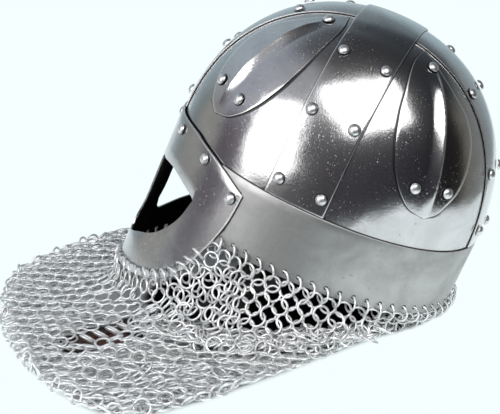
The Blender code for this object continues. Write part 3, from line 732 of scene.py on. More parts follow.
def hanging_rings(mail, rng, angles):
    """Rows that follow the rim down and out.

    Below the corners between face plate and brow band the rows are drawn together, so they hang straighter there,
    with every other row nearly edge-on.
    """
    following = np.append(angles[1:], angles[0] + 360)
    depth = np.full(len(angles), -0.0005)
    for row in range(1, CURTAIN_ROWS + 1):
        half = 0.5 * (row % 2)
        for k, angle in enumerate(angles + (following - angles) * half):
            if row > CURTAIN_ROWS_AHEAD and abs(half_turn(angle)) < CHIN_ANGLE:
                continue
            middle, later, sooner = (drawn_together(angle + step, row) for step in (0.0, 3.0, -3.0))
            path, path_later, path_sooner = (curtain_path(a) for a in (middle, later, sooner))
            spread = along_path(path_later, depth[k] + 0.008)[0] - along_path(path_sooner, depth[k] + 0.008)[0]
            pitch = np.linalg.norm(spread) / 6.0 * (following[k] - angles[k])
            crowd = 1 - float(smooth_step(0.0065, 0.0100, pitch))
            depth[k] += 0.95 * math.sqrt(max((mail.ring - 2 * mail.wire) ** 2 - (min(pitch, 0.011) / 2) ** 2, 0))
            centre, there = along_path(path, depth[k])
            if not there:
                continue
            down = unit(along_path(path, depth[k] + 0.002)[0] - centre)
            along = unit(spread)
            normal = unit(np.cross(along, down))
            outward = np.array(rim_frame(middle)[2])
            if normal @ outward < 0 and abs(normal[2]) < 0.7 or normal[2] < -0.3:
                normal = -normal
            loose = 1 + 0.25 * row
            lean = mail.lean * (0.8 if row % 2 else -0.8) * (1 - crowd) + rng.normal(0, 0.07 * loose)
            roll = math.radians(14 + 10 * crowd if row % 2 else -10 - 46 * crowd) + rng.normal(0, 0.07 * loose)
            axes = ring_axes(along, down, normal, lean, rng.normal(0, 0.10), roll)
            centre = centre + rng.normal(0, 0.0004, 3)
            centre[2] = max(centre[2], ring_reach(mail, *axes[:2]))
            yield centre, *axes


def loose_rings(mail, rng):
    """Tumbled rings where the curtain meets the floor."""
    for angle in rng.uniform(*LOOSE_SPAN, LOOSE_RINGS):
        for side in (1, -1):
            path = curtain_path(side * angle)
            foot = path[np.argmax(path[:, 2] < MAIL_HIGH + 0.006)]
            centre = foot + rng.normal(0, 1, 3) * LOOSE_SPREAD
            axes = ring_axes(unit(rng.normal(0, 1, 3) * (1, 1, 0.3)), np.array((0, 0, -1.0)),
                             unit(rng.normal(0, 1, 3) + (0, 0, 1.6)), 0.0, 0.0, 0.0)
            centre[2] = max(MAIL_HIGH + 0.001, ring_reach(mail, *axes[:2]))
            yield centre, *axes


def curtain_rings(mail):
    """Rings between the rim and the spread part."""
    rng = np.random.default_rng(mail.seed)
    angles = np.concatenate((plate_holes(), brow_holes()))
    angles = np.sort(np.where(angles < 0, angles + 360, angles))
    return [*hook_rings(mail, rng, angles), *hanging_rings(mail, rng, angles), *loose_rings(mail, rng)]


def apron_height(x, y, rim, rim_angles):
    """Height of the middle of the upper layer: it slopes down from the chin, and undulates a little."""
    gaps = np.hypot(rim[:, 0] - x, rim[:, 1] - y)
    i = gaps.argmin()
    front = 1 - float(smooth_step(*JAW_SPAN, abs(half_turn(rim_angles[i]))))
    slope = front * (rim[i, 2] - 0.011 - MAIL_HIGH) * math.exp(-gaps[i] / APRON_SLOPE)
    waves = 0.0011 * math.sin(x * 46 + 1.3) * math.sin(y * 37) + 0.0008 * math.sin(y * 75 + x * 25)
    return MAIL_HIGH + slope + waves, gaps[i], front


def in_fold(place, reach):
    """Whether a place is in the opened fold, or in an oval so many times its size."""
    spot = Matrix.Rotation(-FOLD_TURN, 2) @ Vector((place[0] - FOLD_CENTRE[0], place[1] - FOLD_CENTRE[1]))
    return (spot.x / FOLD_HALF[0]) ** 2 + (spot.y / FOLD_HALF[1]) ** 2 < reach * reach


def nearest_hem(place, edge):
    """The nearest point of the mail's outline, the way out of it there, and how far a place is inside it."""
    span = np.roll(edge, -1, axis=0) - edge
    t = np.clip(((place - edge) * span).sum(1) / (span * span).sum(1), 0, 1)
    nearest = edge + span * t[:, None]
    gaps = np.linalg.norm(place - nearest, axis=1)
    i = gaps.argmin()
    outward = unit(np.cross(span[i], (0, 0, 1.0)))
    if outward @ edge[i] < 0:
        outward = -outward
    return nearest[i], outward, gaps[i] if (place - nearest[i]) @ outward < 0 else -gaps[i]


def rolled_under(nearest, outward, along, roll):
    """Middle of a ring so far along the rolled hem and the layer under it, and the turn of the mail there."""
    turn = min(along / roll, math.pi)
    centre = nearest - outward * roll + outward * roll * math.sin(turn)
    centre[2] = MAIL_LOW + roll + roll * math.cos(turn)
    centre -= outward * max(along - math.pi * roll, 0.0)
    return centre, Matrix.Rotation(turn, 3, Vector(np.cross((0, 0, 1.0), outward)))


def apron_rings(mail):
    """Rings of the spread part: rows that run fore and aft, rolled under along the edge of the mail."""
    rng = np.random.default_rng(mail.seed + 1)
    edge = outline_point(np.arange(-180.0, 180.0, 1.0))
    rim_angles = np.arange(0.0, 360.0, 2.0)
    rim = as_it_lies(rim_point(rim_angles)) - ZERO
    rings = []
    roll = (MAIL_HIGH - MAIL_LOW) / 2
    rows = int(APRON_SPAN / mail.row)
    for row in range(-rows, rows + 1):
        for k in range(-APRON_HALF_ROW, APRON_HALF_ROW + 1):
            x = row * mail.row
            y = (k + 0.5 * (row % 2)) * mail.pitch
            x += 0.0011 * math.sin(y * 68 + row * 0.35) + 0.0007 * math.sin(y * 31 - row * 0.8)
            place = np.array((x, y, 0.0))
            if y > APRON_BACK:
                continue
            nearest, outward, inside = nearest_hem(place, edge)
            depth = inside - roll
            height, near_rim, front = apron_height(x, y, rim, rim_angles)
            heading = math.degrees(math.atan2(place[0], -place[1]))
            rim_inside = np.linalg.norm(place[:2]) < np.interp(
                abs(heading), np.degrees(np.arctan2(np.abs(rim[:91, 0]), -rim[:91, 1])),
                np.linalg.norm(rim[:91, :2], axis=1))
            if rim_inside or near_rim < 0.016 - 0.011 * front or depth < -math.pi * roll - MAIL_FOLD_DEPTH:
                continue
            ahead, beside = (apron_height(x + dx, y + dy, rim, rim_angles)[0] - height
                             for dx, dy in ((0, -0.002), (0.002, 0)))
            row_axis, across = unit(np.array((0, -0.002, ahead))), unit(np.array((0.002, 0, beside)))
            normal = unit(np.cross(across, -row_axis))
            lean = mail.lean * (1 if row % 2 else -1)
            rough = 1.0 + 1.6 * float(smooth_step(0.10, 0.22, place[0]))
            centre = place.copy()
            centre[2] = height
            if depth < 0:
                centre, spin = rolled_under(nearest, outward, -depth, roll)
                row_axis, across, normal = (np.array(spin @ Vector(v)) for v in (row_axis, across, normal))
                rough = 0.5
            axes = ring_axes(row_axis, across, normal, lean + rng.normal(0, 0.07 * rough),
                             rng.normal(0, 0.06 * rough), rng.normal(0, 0.09 * rough))
            centre = centre + rng.normal(0, 0.0002 * rough, 3) * (1, 1, 0.3)
            centre[2] = max(centre[2], ring_reach(mail, *axes[:2]))
            if in_fold(centre, 1.0) and depth > 0:
                continue
            rings.append((centre, *axes))
            if depth > LAYER_FROM_HEM and near_rim > LAYER_FROM_RIM:
                # The mail is doubled here: a second layer shows between the rings of the first
                axes = ring_axes(row_axis, across, normal, rng.normal(-0.6 * lean, 0.10), rng.normal(0, 0.15),
                                 rng.normal(0, 0.12))
                below = centre + (mail.row * LAYER_SHIFT[0], mail.pitch * LAYER_SHIFT[1], MAIL_LOW - MAIL_HIGH)
                below[2] = max(below[2], ring_reach(mail, *axes[:2]))
                if not in_fold(below, LAYER_ROUND_FOLD):
                    rings.append((below, *axes))
    return rings


def fold_rings(mail):
    """Stretched pairs of rings across the opened fold."""
    rng = np.random.default_rng(mail.seed + 2)
    rings = []
    ahead = np.array((math.cos(FOLD_TURN), math.sin(FOLD_TURN), 0))
    across = np.array((-ahead[1], ahead[0], 0))
    middle = np.array((*FOLD_CENTRE, FOLD_RING_HEIGHT))
    for place in FOLD_PAIRS:
        for step in (-0.0012, 0.0012):
            x = unit(across + ahead * rng.uniform(-0.15, 0.15))
            y = unit(np.array((0, 0, 1.0)) * 0.62 + ahead * 0.75)
            rings.append((middle + ahead * (place + step), x, y, np.cross(x, y)))
    return rings


def link_rings(name, rings, mail):
    """Copies one round ring of wire to every place, each with its own points."""
    deselect()
    bpy.ops.mesh.primitive_torus_add(major_segments=16, minor_segments=4, minor_radius=mail.wire * DRAWN_RADIUS,
                                     major_radius=(mail.ring - mail.wire) / 2)
    first = bpy.context.object
    wire = get_points(first.data)
    faces = np.array([tuple(face.vertices) for face in first.data.polygons])
    places = np.array([ring[0] for ring in rings]) + ZERO
    axes = np.array([ring[1:] for ring in rings])
    every = (wire @ axes + places[:, None, :]).reshape(-1, 3)
    corners = (faces[None] + (np.arange(len(rings)) * len(wire))[:, None, None]).reshape(-1, 4)
    mesh = bpy.data.meshes.new(name)
    mesh.from_pydata(every.tolist(), [], corners.tolist())
    piece = bpy.data.objects.new(name, mesh)
    bpy.context.scene.collection.objects.link(piece)
    pick(first)
    bpy.ops.object.delete()
    pick(piece)
    bpy.ops.object.shade_smooth()
    return piece


# Finishes

class NodeTree:
    """Adds nodes to a material or to the world."""

    def __init__(self, tree):
        self.nodes, self.links = tree.nodes, tree.links

    def feed(self, socket, value):
        """Links an output to a socket, or sets the socket's own value."""
        if isinstance(value, bpy.types.NodeSocket):
            self.links.new(value, socket)
        else:
            socket.default_value = (*value, 1.0) if socket.type == "RGBA" else value

    def add(self, kind, output, inputs=None, **settings):
        """A new node's output, with the node's inputs by name or number."""
        node = self.nodes.new(f"ShaderNode{kind}")
        for key, value in settings.items():
            setattr(node, key, value)
        for key, value in (inputs or {}).items():
            self.feed(node.inputs[key], value)
        return node.outputs[output]

    def noise(self, place, scale, detail, roughness=0.5, distortion=0.0):
        return self.add("TexNoise", "Fac", {"Vector": place, "Scale": scale, "Detail": detail,
                                            "Roughness": roughness, "Distortion": distortion})

    def remap(self, value, low, high, to_low=0.0, to_high=1.0):
        return self.add("MapRange", "Result", {"Value": value, "From Min": low, "From Max": high,
                                               "To Min": to_low, "To Max": to_high})

    def mix(self, share, first, second):
        return self.add("Mix", 2, {0: share, 6: first, 7: second}, data_type="RGBA")

    def combine(self, operation, *values):
        return self.add("Math", 0, dict(enumerate(values)), operation=operation)

    def attribute(self, name):
        return self.add("Attribute", "Fac", attribute_name=name)

    def ramp(self, turn, stops):
        """Colours at azimuths in degrees, for a turn from 0 to 1."""
        node = self.nodes.new("ShaderNodeValToRGB")
        elements = node.color_ramp.elements
        while len(elements) < len(stops):
            elements.new(0.5)
        for element, (azimuth, colour) in zip(elements, stops):
            element.position = (azimuth + 180) / 360
            element.color = (*colour, 1.0)
        self.feed(node.inputs["Fac"], turn)
        return node.outputs["Color"]


class Finish(NodeTree):
    """A new material whose nodes start from the place on the object."""

    def __init__(self, name):
        self.material = bpy.data.materials.new(name)
        self.material.use_nodes = True
        super().__init__(self.material.node_tree)
        self.place = self.add("TexCoord", "Object")

    def bump(self, height, strength, distance, **under):
        return self.add("Bump", "Normal", {"Strength": strength, "Distance": distance, "Height": height, **under})

    def made_of(self, inputs):
        """Feeds the shader, and returns the material."""
        for key, value in inputs.items():
            self.feed(self.nodes["Principled BSDF"].inputs[key], value)
        return self.material


def shaded(colour, share):
    return tuple(value * share for value in colour)


def sheet_steel(name, colour, roughness, wave, scratch, speck, haze):
    """Sheet steel: hammered waves, smudged polish, hair scratches, and small pits and stains.

    It has a painted shadow, dark where the mark "joint" is near zero, next to what covers the sheet, and a border
    where
    "worn" is high, paler and rougher for wear and for a painted edge highlight. The haze is a thin blurred gloss
    over the polish, for the windows' mirror images.
    """
    make = Finish(name)
    smudge = make.noise(make.place, 28.0, 6.0, 0.62, 0.4)
    fine = make.noise(make.place, 420.0, 3.0, 0.6)
    pits = make.noise(make.place, 900.0, 2.0)
    waves = make.noise(make.place, 22.0, 2.0, 0.45, 0.3)
    stretched = make.add("Mapping", "Vector", {"Vector": make.place, "Scale": (1.0, 14.0, 9.0),
                                               "Rotation": (0.4, 0.7, 0.3)})
    hairs = make.noise(stretched, 60.0, 4.0, 0.7)
    pitted = make.remap(make.combine("MULTIPLY_ADD", smudge, 0.35, pits), 0.87, 0.92, 0.0, speck)
    stained = make.remap(fine, 0.64, 0.72, 0.0, 0.45)
    # Paler and rougher along the sheet's own border: wear, and a painted edge highlight
    worn = make.remap(make.attribute("worn"), WEAR_AND_SHEEN_MARK - 0.0007, WEAR_AND_SHEEN_MARK - 0.0002, 0.0, 0.6)
    # Painted shadow: nearly black next to the edges of what covers the sheet
    painted_shadow = make.remap(make.attribute("joint"), 0.0004, 0.0011, 1.0, 0.0)
    tone = make.mix(make.remap(smudge, 0.35, 0.70), shaded(colour, 0.72), colour)
    for share, mark in ((pitted, (0.86, 0.85, 0.83)), (stained, (0.16, 0.155, 0.15)), (worn, (0.84, 0.84, 0.83)),
                        (painted_shadow, (0.012, 0.012, 0.013))):
        tone = make.mix(share, tone, mark)
    polish = make.remap(smudge, 0.30, 0.75, roughness * 1.35, roughness * 0.75)
    polish = make.combine("ADD", polish, make.remap(pitted, 0.0, speck, 0.0, 0.9 * speck))
    polish = make.combine("ADD", polish, make.remap(worn, 0.0, 0.6, 0.0, 0.22))
    hammered = make.bump(waves, wave, 0.004)
    scratched = make.bump(hairs, scratch, 0.0004, Normal=hammered)
    return make.made_of({
        "Base Color": tone, "Metallic": 1.0, "Roughness": polish,
        "Coat Weight": haze, "Coat Roughness": 0.42, "Coat IOR": 1.6,
        "Normal": make.bump(fine, scratch * 0.6, 0.0003, Normal=scratched)})


def inside_shade(name, colour):
    """Inside of the sheets: rough and nearly black, a painted shade for the dark inside of the helmet, with a
    cloudy tone.
    """
    make = Finish(name)
    cloud = make.noise(make.place, 45.0, 5.0, 0.6)
    return make.made_of({
        "Base Color": make.mix(make.remap(cloud, 0.35, 0.70), (0.002, 0.002, 0.002), colour),
        "Metallic": 0.0, "Specular IOR Level": 0.03, "Roughness": make.remap(cloud, 0.3, 0.7, 0.65, 0.9),
        "Normal": make.bump(cloud, 0.3, 0.0006)})


def rivet_steel(name, colour):
    """Rivet heads: duller than the sheets, a little battered."""
    make = Finish(name)
    dents = make.noise(make.place, 260.0, 3.0)
    return make.made_of({
        "Base Color": make.mix(make.remap(dents, 0.3, 0.7), shaded(colour, 0.8), colour),
        "Metallic": 1.0, "Roughness": make.remap(dents, 0.3, 0.7, 0.46, 0.34),
        "Normal": make.bump(dents, 0.25, 0.0005)})


def plated_wire(name, colour):
    """Bright plated wire with dull patches."""
    make = Finish(name)
    patch = make.noise(make.place, 65.0, 4.0, 0.6)
    grain = make.noise(make.place, 1100.0, 2.0, 0.6)
    return make.made_of({
        "Base Color": make.mix(make.remap(patch, 0.32, 0.70), shaded(colour, 0.74), colour),
        "Metallic": 0.62, "Roughness": make.remap(patch, 0.3, 0.7, 0.44, 0.30),
        "Normal": make.bump(grain, 0.12, 0.0002)})


def strap_leather(name, colour):
    """Oiled leather, nearly black as painted shade but for the stretch that shows in the opened fold, which keeps
    the strap's own colour.
    """
    make = Finish(name)
    cloud = make.noise(make.place, 55.0, 5.0, 0.6)
    grain = make.add("TexVoronoi", "Distance", {"Vector": make.place, "Scale": 900.0})
    fold = (FOLD_CENTRE[0], FOLD_CENTRE[1] + BELOW_BROW.y, 0.0)
    away = make.add("VectorMath", "Value", {0: make.place, 1: fold}, operation="DISTANCE")
    paler = make.mix(make.remap(cloud, 0.3, 0.7), shaded(colour, 0.55), colour)
    # Painted shade: nearly black farther than a little way from the opened fold
    return make.made_of({
        "Base Color": make.mix(make.remap(away, 0.010, 0.026), paler, (0.010, 0.004, 0.003)),
        "Roughness": make.remap(cloud, 0.3, 0.7, 0.70, 0.50), "Normal": make.bump(grain, 0.4, 0.0004)})


def pale_floor(name, colour):
    """Floor that glows as pale as the room where it is open, for the camera and more weakly in mirror images;
    painted shade makes it dull grey under the mail and nearly black under the helmet.
    """
    make = Finish(name)
    floor_shade_level = make.attribute("cover")
    cloud = make.remap(make.noise(make.place, 3.0, 2.0), 0.3, 0.7)
    tone = make.mix(cloud, shaded(colour, 0.985), colour)
    # Painted shade: grey under the spread mail and nearly black under the helmet
    tone = make.mix(floor_shade_level, tone, (0.64, 0.65, 0.65))
    tone = make.mix(make.remap(floor_shade_level, 1.2, 2.0), tone, (0.006, 0.006, 0.006))
    uncovered = make.remap(floor_shade_level, 0.0, 1.0, 1.0, 0.0)
    seen, mirrored = (make.combine("MULTIPLY", make.add("LightPath", ray), uncovered)
                      for ray in ("Is Camera Ray", "Is Glossy Ray"))
    glow = make.combine("MAXIMUM", seen, make.remap(mirrored, 0.0, 1.0, 0.0, 0.55))
    return make.made_of({
        "Base Color": make.mix(seen, tone, (0.0, 0.0, 0.0)), "Roughness": 1.0, "Specular IOR Level": 0.0,
        "Emission Color": PALE, "Emission Strength": glow})


LOOKS = {
    # name: what builds it, setting with its colour, and for a sheet its roughness, wave, scratch, speck and haze
    "polished_sheet": (sheet_steel, "polished", 0.13, 0.26, 0.14, 0.55, 0.8),
    "face_sheet": (sheet_steel, "polished", 0.19, 0.12, 0.14, 0.5, 0.4),
    "satin_sheet": (sheet_steel, "satin", 0.40, 0.06, 0.16, 0.25, 0.0),
    "blackened_inside": (inside_shade, "inside"),
    "rivet_heads": (rivet_steel, "rivets"),
    "plated_rings": (plated_wire, "mail"),
    "strap_leather": (strap_leather, "leather"),
    "pale_floor": (pale_floor, "floor"),
}


def look(name):
    """A material by its name, made when the first piece needs it."""
    build, setting, *settings = LOOKS[name]
    colour = getattr(bpy.context.scene.helmet_finish, setting)
    return bpy.data.materials.get(name) or build(name, colour, *settings)


def settle(piece, nodes, slot, *looks):
    """Gives a finished piece its materials and its place in the frame."""
    for k, name in enumerate(looks):
        if k < len(piece.data.materials):
            piece.data.materials[k] = look(name)
        else:
            piece.data.materials.append(look(name))
    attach(piece, "root")
    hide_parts(*nodes)


def finish_sheet(piece, covers, border=None, slot="polished_steel", outside="polished_sheet", wall=WALL, edge=1.0,
                 two_sided=True, holes=()):
    """Gives a laid sheet its wall, holes, marks and materials. Covers and border are distances of its points."""
    make_wall(piece, wall, bpy.context.scene.helmet_sheets.edge * edge, int(two_sided))
    if len(holes):
        drill(piece, hole_places(holes))
        smooth(piece)
    # Distances for the painted shadow next to what covers the sheet
    mark(piece, "joint", lambda p: np.min([gap(p) for gap in covers], axis=0))
    # Border for wear and for a painted edge highlight
    if border:
        mark(piece, "worn", lambda p: WEAR_AND_SHEEN_MARK + border(p))
    looks = (outside, "blackened_inside") if two_sided else (outside,)
    settle(piece, [piece.name.removesuffix("_sheet")], slot, *looks)


# Operators, one for each group of like pieces

class HELMET_OT_panels(Operator):
    """Four quarter panels of the skull"""
    bl_idname = "helmet.panels"
    bl_label = "Panels"

    def execute(self, context):
        for back, place_name in ((-1, "front"), (1, "rear")):
            for side, hand in ((1, "left"), (-1, "right")):
                def place(s, t, back=back, side=side):
                    angle = 90 * s if back < 0 else 180 - 90 * s
                    base = wall_point(angle, 0.0, 0.0)
                    rise = np.radians(PANEL_TOP_ANGLE * np.clip((t - LAP_SHARE) / (1 - LAP_SHARE), 0, 1))
                    shrink = np.cos(rise) ** (2 / DOME_ROUNDNESS)
                    height = np.where(t < LAP_SHARE, -LAP * (LAP_SHARE - t) / LAP_SHARE,
                                      HEIGHT * np.sin(rise) ** (2 / DOME_ROUNDNESS))
                    keep = 1 - SEAM / HALF_WIDTH
                    return as_it_lies(points(side * (SEAM + np.abs(base[:, 0]) * shrink * keep),
                                             back * (SEAM + np.abs(base[:, 1]) * shrink * keep), height))
                piece = laid_grid(f"panel_{place_name}_{hand}_sheet", 84, 88, place)
                finish_sheet(piece, (crest_gap, cross_gap, brow_gap, leaf_gap, plate_gap))
        return {"FINISHED"}


class HELMET_OT_bands(Operator):
    """Band from brow to nape, and the band from ear to ear that crosses over it"""
    bl_idname = "helmet.bands"
    bl_label = "Crest and cross bands"

    def execute(self, context):
        forward, left = np.array((0, -1.0, 0)), np.array((1.0, 0, 0))
        seam = SEAM + WALL / 4

        def crest(s, t):
            p = band_point(s, t, left, forward, np.zeros(3), CREST_HALF, -LAP, brow_top(REAR_REACH) + seam)
            return as_it_lies(lifted(p, BAND_LIFT))

        def cross(s, t):
            foot = brow_top(-CROSS_FORWARD + CROSS_HALF * (1 - 2 * t)) + seam
            p = band_point(s, t, forward, left, forward * CROSS_FORWARD, CROSS_HALF, foot, foot)
            return as_it_lies(lifted(p, crossing_lift(p)))

        finish_sheet(laid_grid("crest_band_sheet", 170, 24, crest),
                     (cross_gap, plate_gap, rivet_gap("crest_rivet")), crest_gap)
        finish_sheet(laid_grid("cross_band_sheet", 180, 24, cross),
                     (brow_gap, rivet_gap("cross_rivet")), cross_gap)
        return {"FINISHED"}


class HELMET_OT_brow_band(Operator):
    """Deep band round the sides and the back, drilled for the mail"""
    bl_idname = "helmet.brow_band"
    bl_label = "Brow band"

    def execute(self, context):
        def place(s, t):
            p = wall_point(BROW_END_ANGLE + (360 - 2 * BROW_END_ANGLE) * s, 0.0, BAND_LIFT)
            low, high = brow_rim(p[:, 1]), brow_top(p[:, 1])
            p[:, 2] = low + (high - low) * t
            return as_it_lies(p)

        finish_sheet(laid_grid("brow_band_sheet", 170, 8, place), (plate_gap,), brow_gap, "brushed_steel",
                     "satin_sheet", holes=brow_holes())
        return {"FINISHED"}


class HELMET_OT_face_plate(Operator):
    """Face plate with its nasal and eye openings"""
    bl_idname = "helmet.face_plate"
    bl_label = "Face plate"

    def execute(self, context):
        marks = FACE_COLUMNS[:, 0]
        half = np.concatenate([np.linspace(a, b, max(2, math.ceil((b - a) / FACE_COLUMN_WIDTH) + 1))[:-1]
                               for a, b in zip(marks, marks[1:])] + [marks[-1:]])
        angles = np.concatenate((-half[:0:-1], half))
        levels = [smooth_table(FACE_COLUMNS, np.abs(angles), k) for k in range(1, 5)]
        levels = FACE_DEPTH * np.stack(levels, axis=1)

        def place(s, t):
            i = np.rint(s * (len(angles) - 1)).astype(int)
            share = FACE_ROWS[np.rint(t * (len(FACE_ROWS) - 1)).astype(int)]
            low = np.minimum(share.astype(int), 2)
            height = levels[i, low] + (levels[i, low + 1] - levels[i, low]) * (share - low)
            return as_it_lies(plate_point(angles[i], height, PLATE_LIFT))

        piece = laid_grid("face_plate_sheet", len(angles) - 1, len(FACE_ROWS) - 1, place)
        for face in piece.data.polygons:
            row, column = divmod(face.index, len(angles) - 1)
            inner = min(abs(angles[column]), abs(angles[column + 1]))
            face.select = 1.0 <= FACE_ROWS[row] < 2.0 and NASAL_ANGLE - 0.01 <= inner < EYE_CORNER_ANGLE - 0.01
        context.tool_settings.mesh_select_mode = (False, False, True)
        bpy.ops.object.mode_set(mode="EDIT")
        bpy.ops.mesh.delete(type="FACE")
        bpy.ops.object.mode_set(mode="OBJECT")
        finish_sheet(piece, (rivet_gap("plate_rivet"),), plate_gap, outside="face_sheet", wall=PLATE_WALL,
                     holes=plate_holes())
        return {"FINISHED"}


class HELMET_OT_leaves(Operator):
    """Four pointed leaves with a raised rib"""
    bl_idname = "helmet.leaves"
    bl_label = "Leaves"

    def execute(self, context):
        rib = context.scene.helmet_sheets.rib
        for name, *shape in LEAVES:
            finish_sheet(laid_grid(f"{name}_sheet", 84, 60, leaf_place(*shape, rib)), (rivet_gap("leaf_rivet"),),
                         leaf_gap, wall=LEAF_WALL, edge=0.8, two_sided=False)
        return {"FINISHED"}


def rivet_seats():
    """Names of the rows of rivets, each with the place and the way out of every rivet, in the helmet's frame."""
    def seat(p, lift, flat=False):
        normal = skull_normal(p * (1, 1, 0) if flat else p)
        return p + normal * (lift + SEAM), normal

    rows = {"cross_rivet": [], "crest_rivet": [], "leaf_rivet": [], "plate_rivet": []}
    for edge in (-1, 1):
        y = -CROSS_FORWARD + edge * (CROSS_HALF - RIVET_INSET)
        for height in CROSS_RIVET_HEIGHTS:
            for side in (1.0, -1.0):
                p = on_ray(points(0, y, height), points(side, 0, 0))
                rows["cross_rivet"].append(seat(p, float(crossing_lift(p))))
    for end in (-1, 1):
        for angle in CREST_RIVET_ANGLES:
            rise = math.radians(angle)
            for side in (1, -1):
                start = points(side * (CREST_HALF - RIVET_INSET), 0, 0)
                p = on_ray(start, points(0, end * math.cos(rise), math.sin(rise)))
                rows["crest_rivet"].append(seat(p, BAND_LIFT))
    for _, meridian, steep, tip in LEAVES:
        for share, aside in LEAF_RIVETS:
            elevation = LEAF_FOOT_ELEVATION + (tip - LEAF_FOOT_ELEVATION) * share
            direction = leaf_direction(meridian, np.array(elevation), math.radians(aside * steep))
            rows["leaf_rivet"].append(seat(on_ray(points(0, 0, 0), direction), LEAF_LIFT))
    for angle, share in PLATE_RIVETS:
        for side in ((1, -1) if angle else (1,)):
            p = wall_point(np.array(side * angle), FACE_DEPTH * share, 0.0)
            rows["plate_rivet"].append(seat(p, PLATE_LIFT, True))
    return rows


class HELMET_OT_rivets(Operator):
    """Domed rivet heads on the bands, the leaves and the face plate"""
    bl_idname = "helmet.rivets"
    bl_label = "Rivets"

    def execute(self, context):
        sheets = context.scene.helmet_sheets
        deselect()
        bpy.ops.mesh.primitive_uv_sphere_add(segments=24, ring_count=14, radius=sheets.rivet_radius)
        head = context.object
        edit(head, (bpy.ops.mesh.bisect, {"plane_co": (0, 0, 0.0002), "plane_no": (0, 0, 1), "use_fill": True,
                                          "clear_inner": True}),
             (bpy.ops.transform.resize, {"value": (1, 1, sheets.rivet_height / sheets.rivet_radius)}))
        for name, seats in rivet_seats().items():
            copies = []
            for point, normal in seats:
                copy = bpy.data.objects.new(name, head.data.copy())
                context.scene.collection.objects.link(copy)
                stand = Vector(normal).to_track_quat("Z", "Y").to_matrix().to_4x4()
                copy.data.transform(tipped() @ Matrix.Translation(Vector(point)) @ stand)
                copies.append(copy)
            row = joined(copies)
            row.name = row.data.name = f"{name}_heads"
            smooth(row, 40)
            settle(row, [f"{name}_{k + 1}" for k in range(len(seats))], "rivet_steel", "rivet_heads")
        pick(head)
        bpy.ops.object.delete()
        return {"FINISHED"}


class HELMET_OT_mail(Operator):
    """Mail: the curtain that hangs from the rim, and the part that is spread on the floor"""
    bl_idname = "helmet.mail"
    bl_label = "Mail"

    def execute(self, context):
        mail = context.scene.helmet_mail
        apron = apron_rings(mail)
        groups = {
            "mail_curtain": curtain_rings(mail),
            "mail_apron_left": [ring for ring in apron if ring[0][0] >= 0] + fold_rings(mail),
            "mail_apron_right": [ring for ring in apron if ring[0][0] < 0],
        }
        for name, rings in groups.items():
            settle(link_rings(name, rings, mail), ["mail_aventail"], "zinc_mail", "plated_rings")
        return {"FINISHED"}


class HELMET_OT_strap(Operator):
    """Leather chin strap, from inside the left ear down under the mail and up to the right ear"""
    bl_idname = "helmet.strap"
    bl_label = "Chin strap"

    def execute(self, context):
        marks = [np.array((left, -ahead, up)) for left, ahead, up in STRAP_ROUTE]
        ends = [2 * marks[0] - marks[1]] + marks + [2 * marks[-1] - marks[-2]]
        route = []
        for before, here, there, after in zip(ends, ends[1:], ends[2:], ends[3:]):
            for t in np.linspace(0, 1, 8, endpoint=False):
                route.append(0.5 * (2 * here + (there - before) * t + (2 * before - 5 * here + 4 * there - after)
                                    * t * t + (3 * here - before - 3 * there + after) * t ** 3))
        route = np.array(route + [marks[-1]])
        route[:, 2] = np.maximum(route[:, 2], STRAP_LYING)
        tangent = directions(np.gradient(route, axis=0))
        upright = smooth_step(0.006, 0.030, route[:, 2])[:, None]
        width = directions(np.cross(tangent, (0, 0, 1.0)) * (1 - upright)
                           + np.cross(tangent, (1.0, 0, 0)) * upright)

        def place(s, t):
            i = np.rint(s * (len(route) - 1)).astype(int)
            return route[i] + width[i] * (STRAP_WIDTH * (t - 0.5))[:, None] + ZERO

        piece = laid_grid("chin_strap_leather", len(route) - 1, 6, place)
        apply_modifier(piece, "SOLIDIFY", thickness=STRAP_THICKNESS, offset=0.0)
        apply_modifier(piece, "BEVEL", width=STRAP_THICKNESS / 4, segments=2, limit_method="ANGLE",
                       angle_limit=math.radians(50))
        smooth(piece, 40)
        settle(piece, ["chin_strap"], "brown_leather", "strap_leather")
        return {"FINISHED"}


# Studio

# Dim room that the steel mirrors, as colours at azimuths: warm grey ahead, bluish to the right, dark behind
LOW_ROOM = (
    (-180, (0.012, 0.010, 0.010)), (-171, (0.018, 0.015, 0.013)), (-161, (0.23, 0.22, 0.19)),
    (-120, (0.33, 0.37, 0.39)), (-98, (0.43, 0.55, 0.60)), (-78, (0.54, 0.66, 0.71)), (-55, (0.47, 0.58, 0.63)),
    (-34, (0.36, 0.45, 0.49)), (-24, (0.32, 0.35, 0.35)), (-14, (0.44, 0.44, 0.41)), (9, (0.45, 0.45, 0.43)),
    (15, (0.13, 0.11, 0.14)), (34, (0.13, 0.11, 0.14)), (42, (0.38, 0.38, 0.38)), (52, (0.30, 0.30, 0.30)),
    (78, (0.065, 0.060, 0.070)), (150, (0.026, 0.026, 0.036)), (168, (0.012, 0.012, 0.014)),
    (180, (0.012, 0.010, 0.010)),
)
HIGH_ROOM = (
    (-180, (0.02, 0.024, 0.032)), (-150, (0.035, 0.038, 0.042)), (-120, (0.075, 0.085, 0.10)),
    (-100, (0.23, 0.29, 0.32)), (-75, (0.36, 0.44, 0.48)), (-55, (0.50, 0.60, 0.66)), (-15, (0.58, 0.66, 0.74)),
    (12, (0.54, 0.57, 0.66)), (45, (0.60, 0.62, 0.68)), (72, (0.50, 0.51, 0.53)), (92, (0.13, 0.12, 0.12)),
    (140, (0.06, 0.055, 0.055)), (155, (0.030, 0.028, 0.032)), (180, (0.02, 0.024, 0.032)),
)
CEILING = (0.045, 0.045, 0.050)


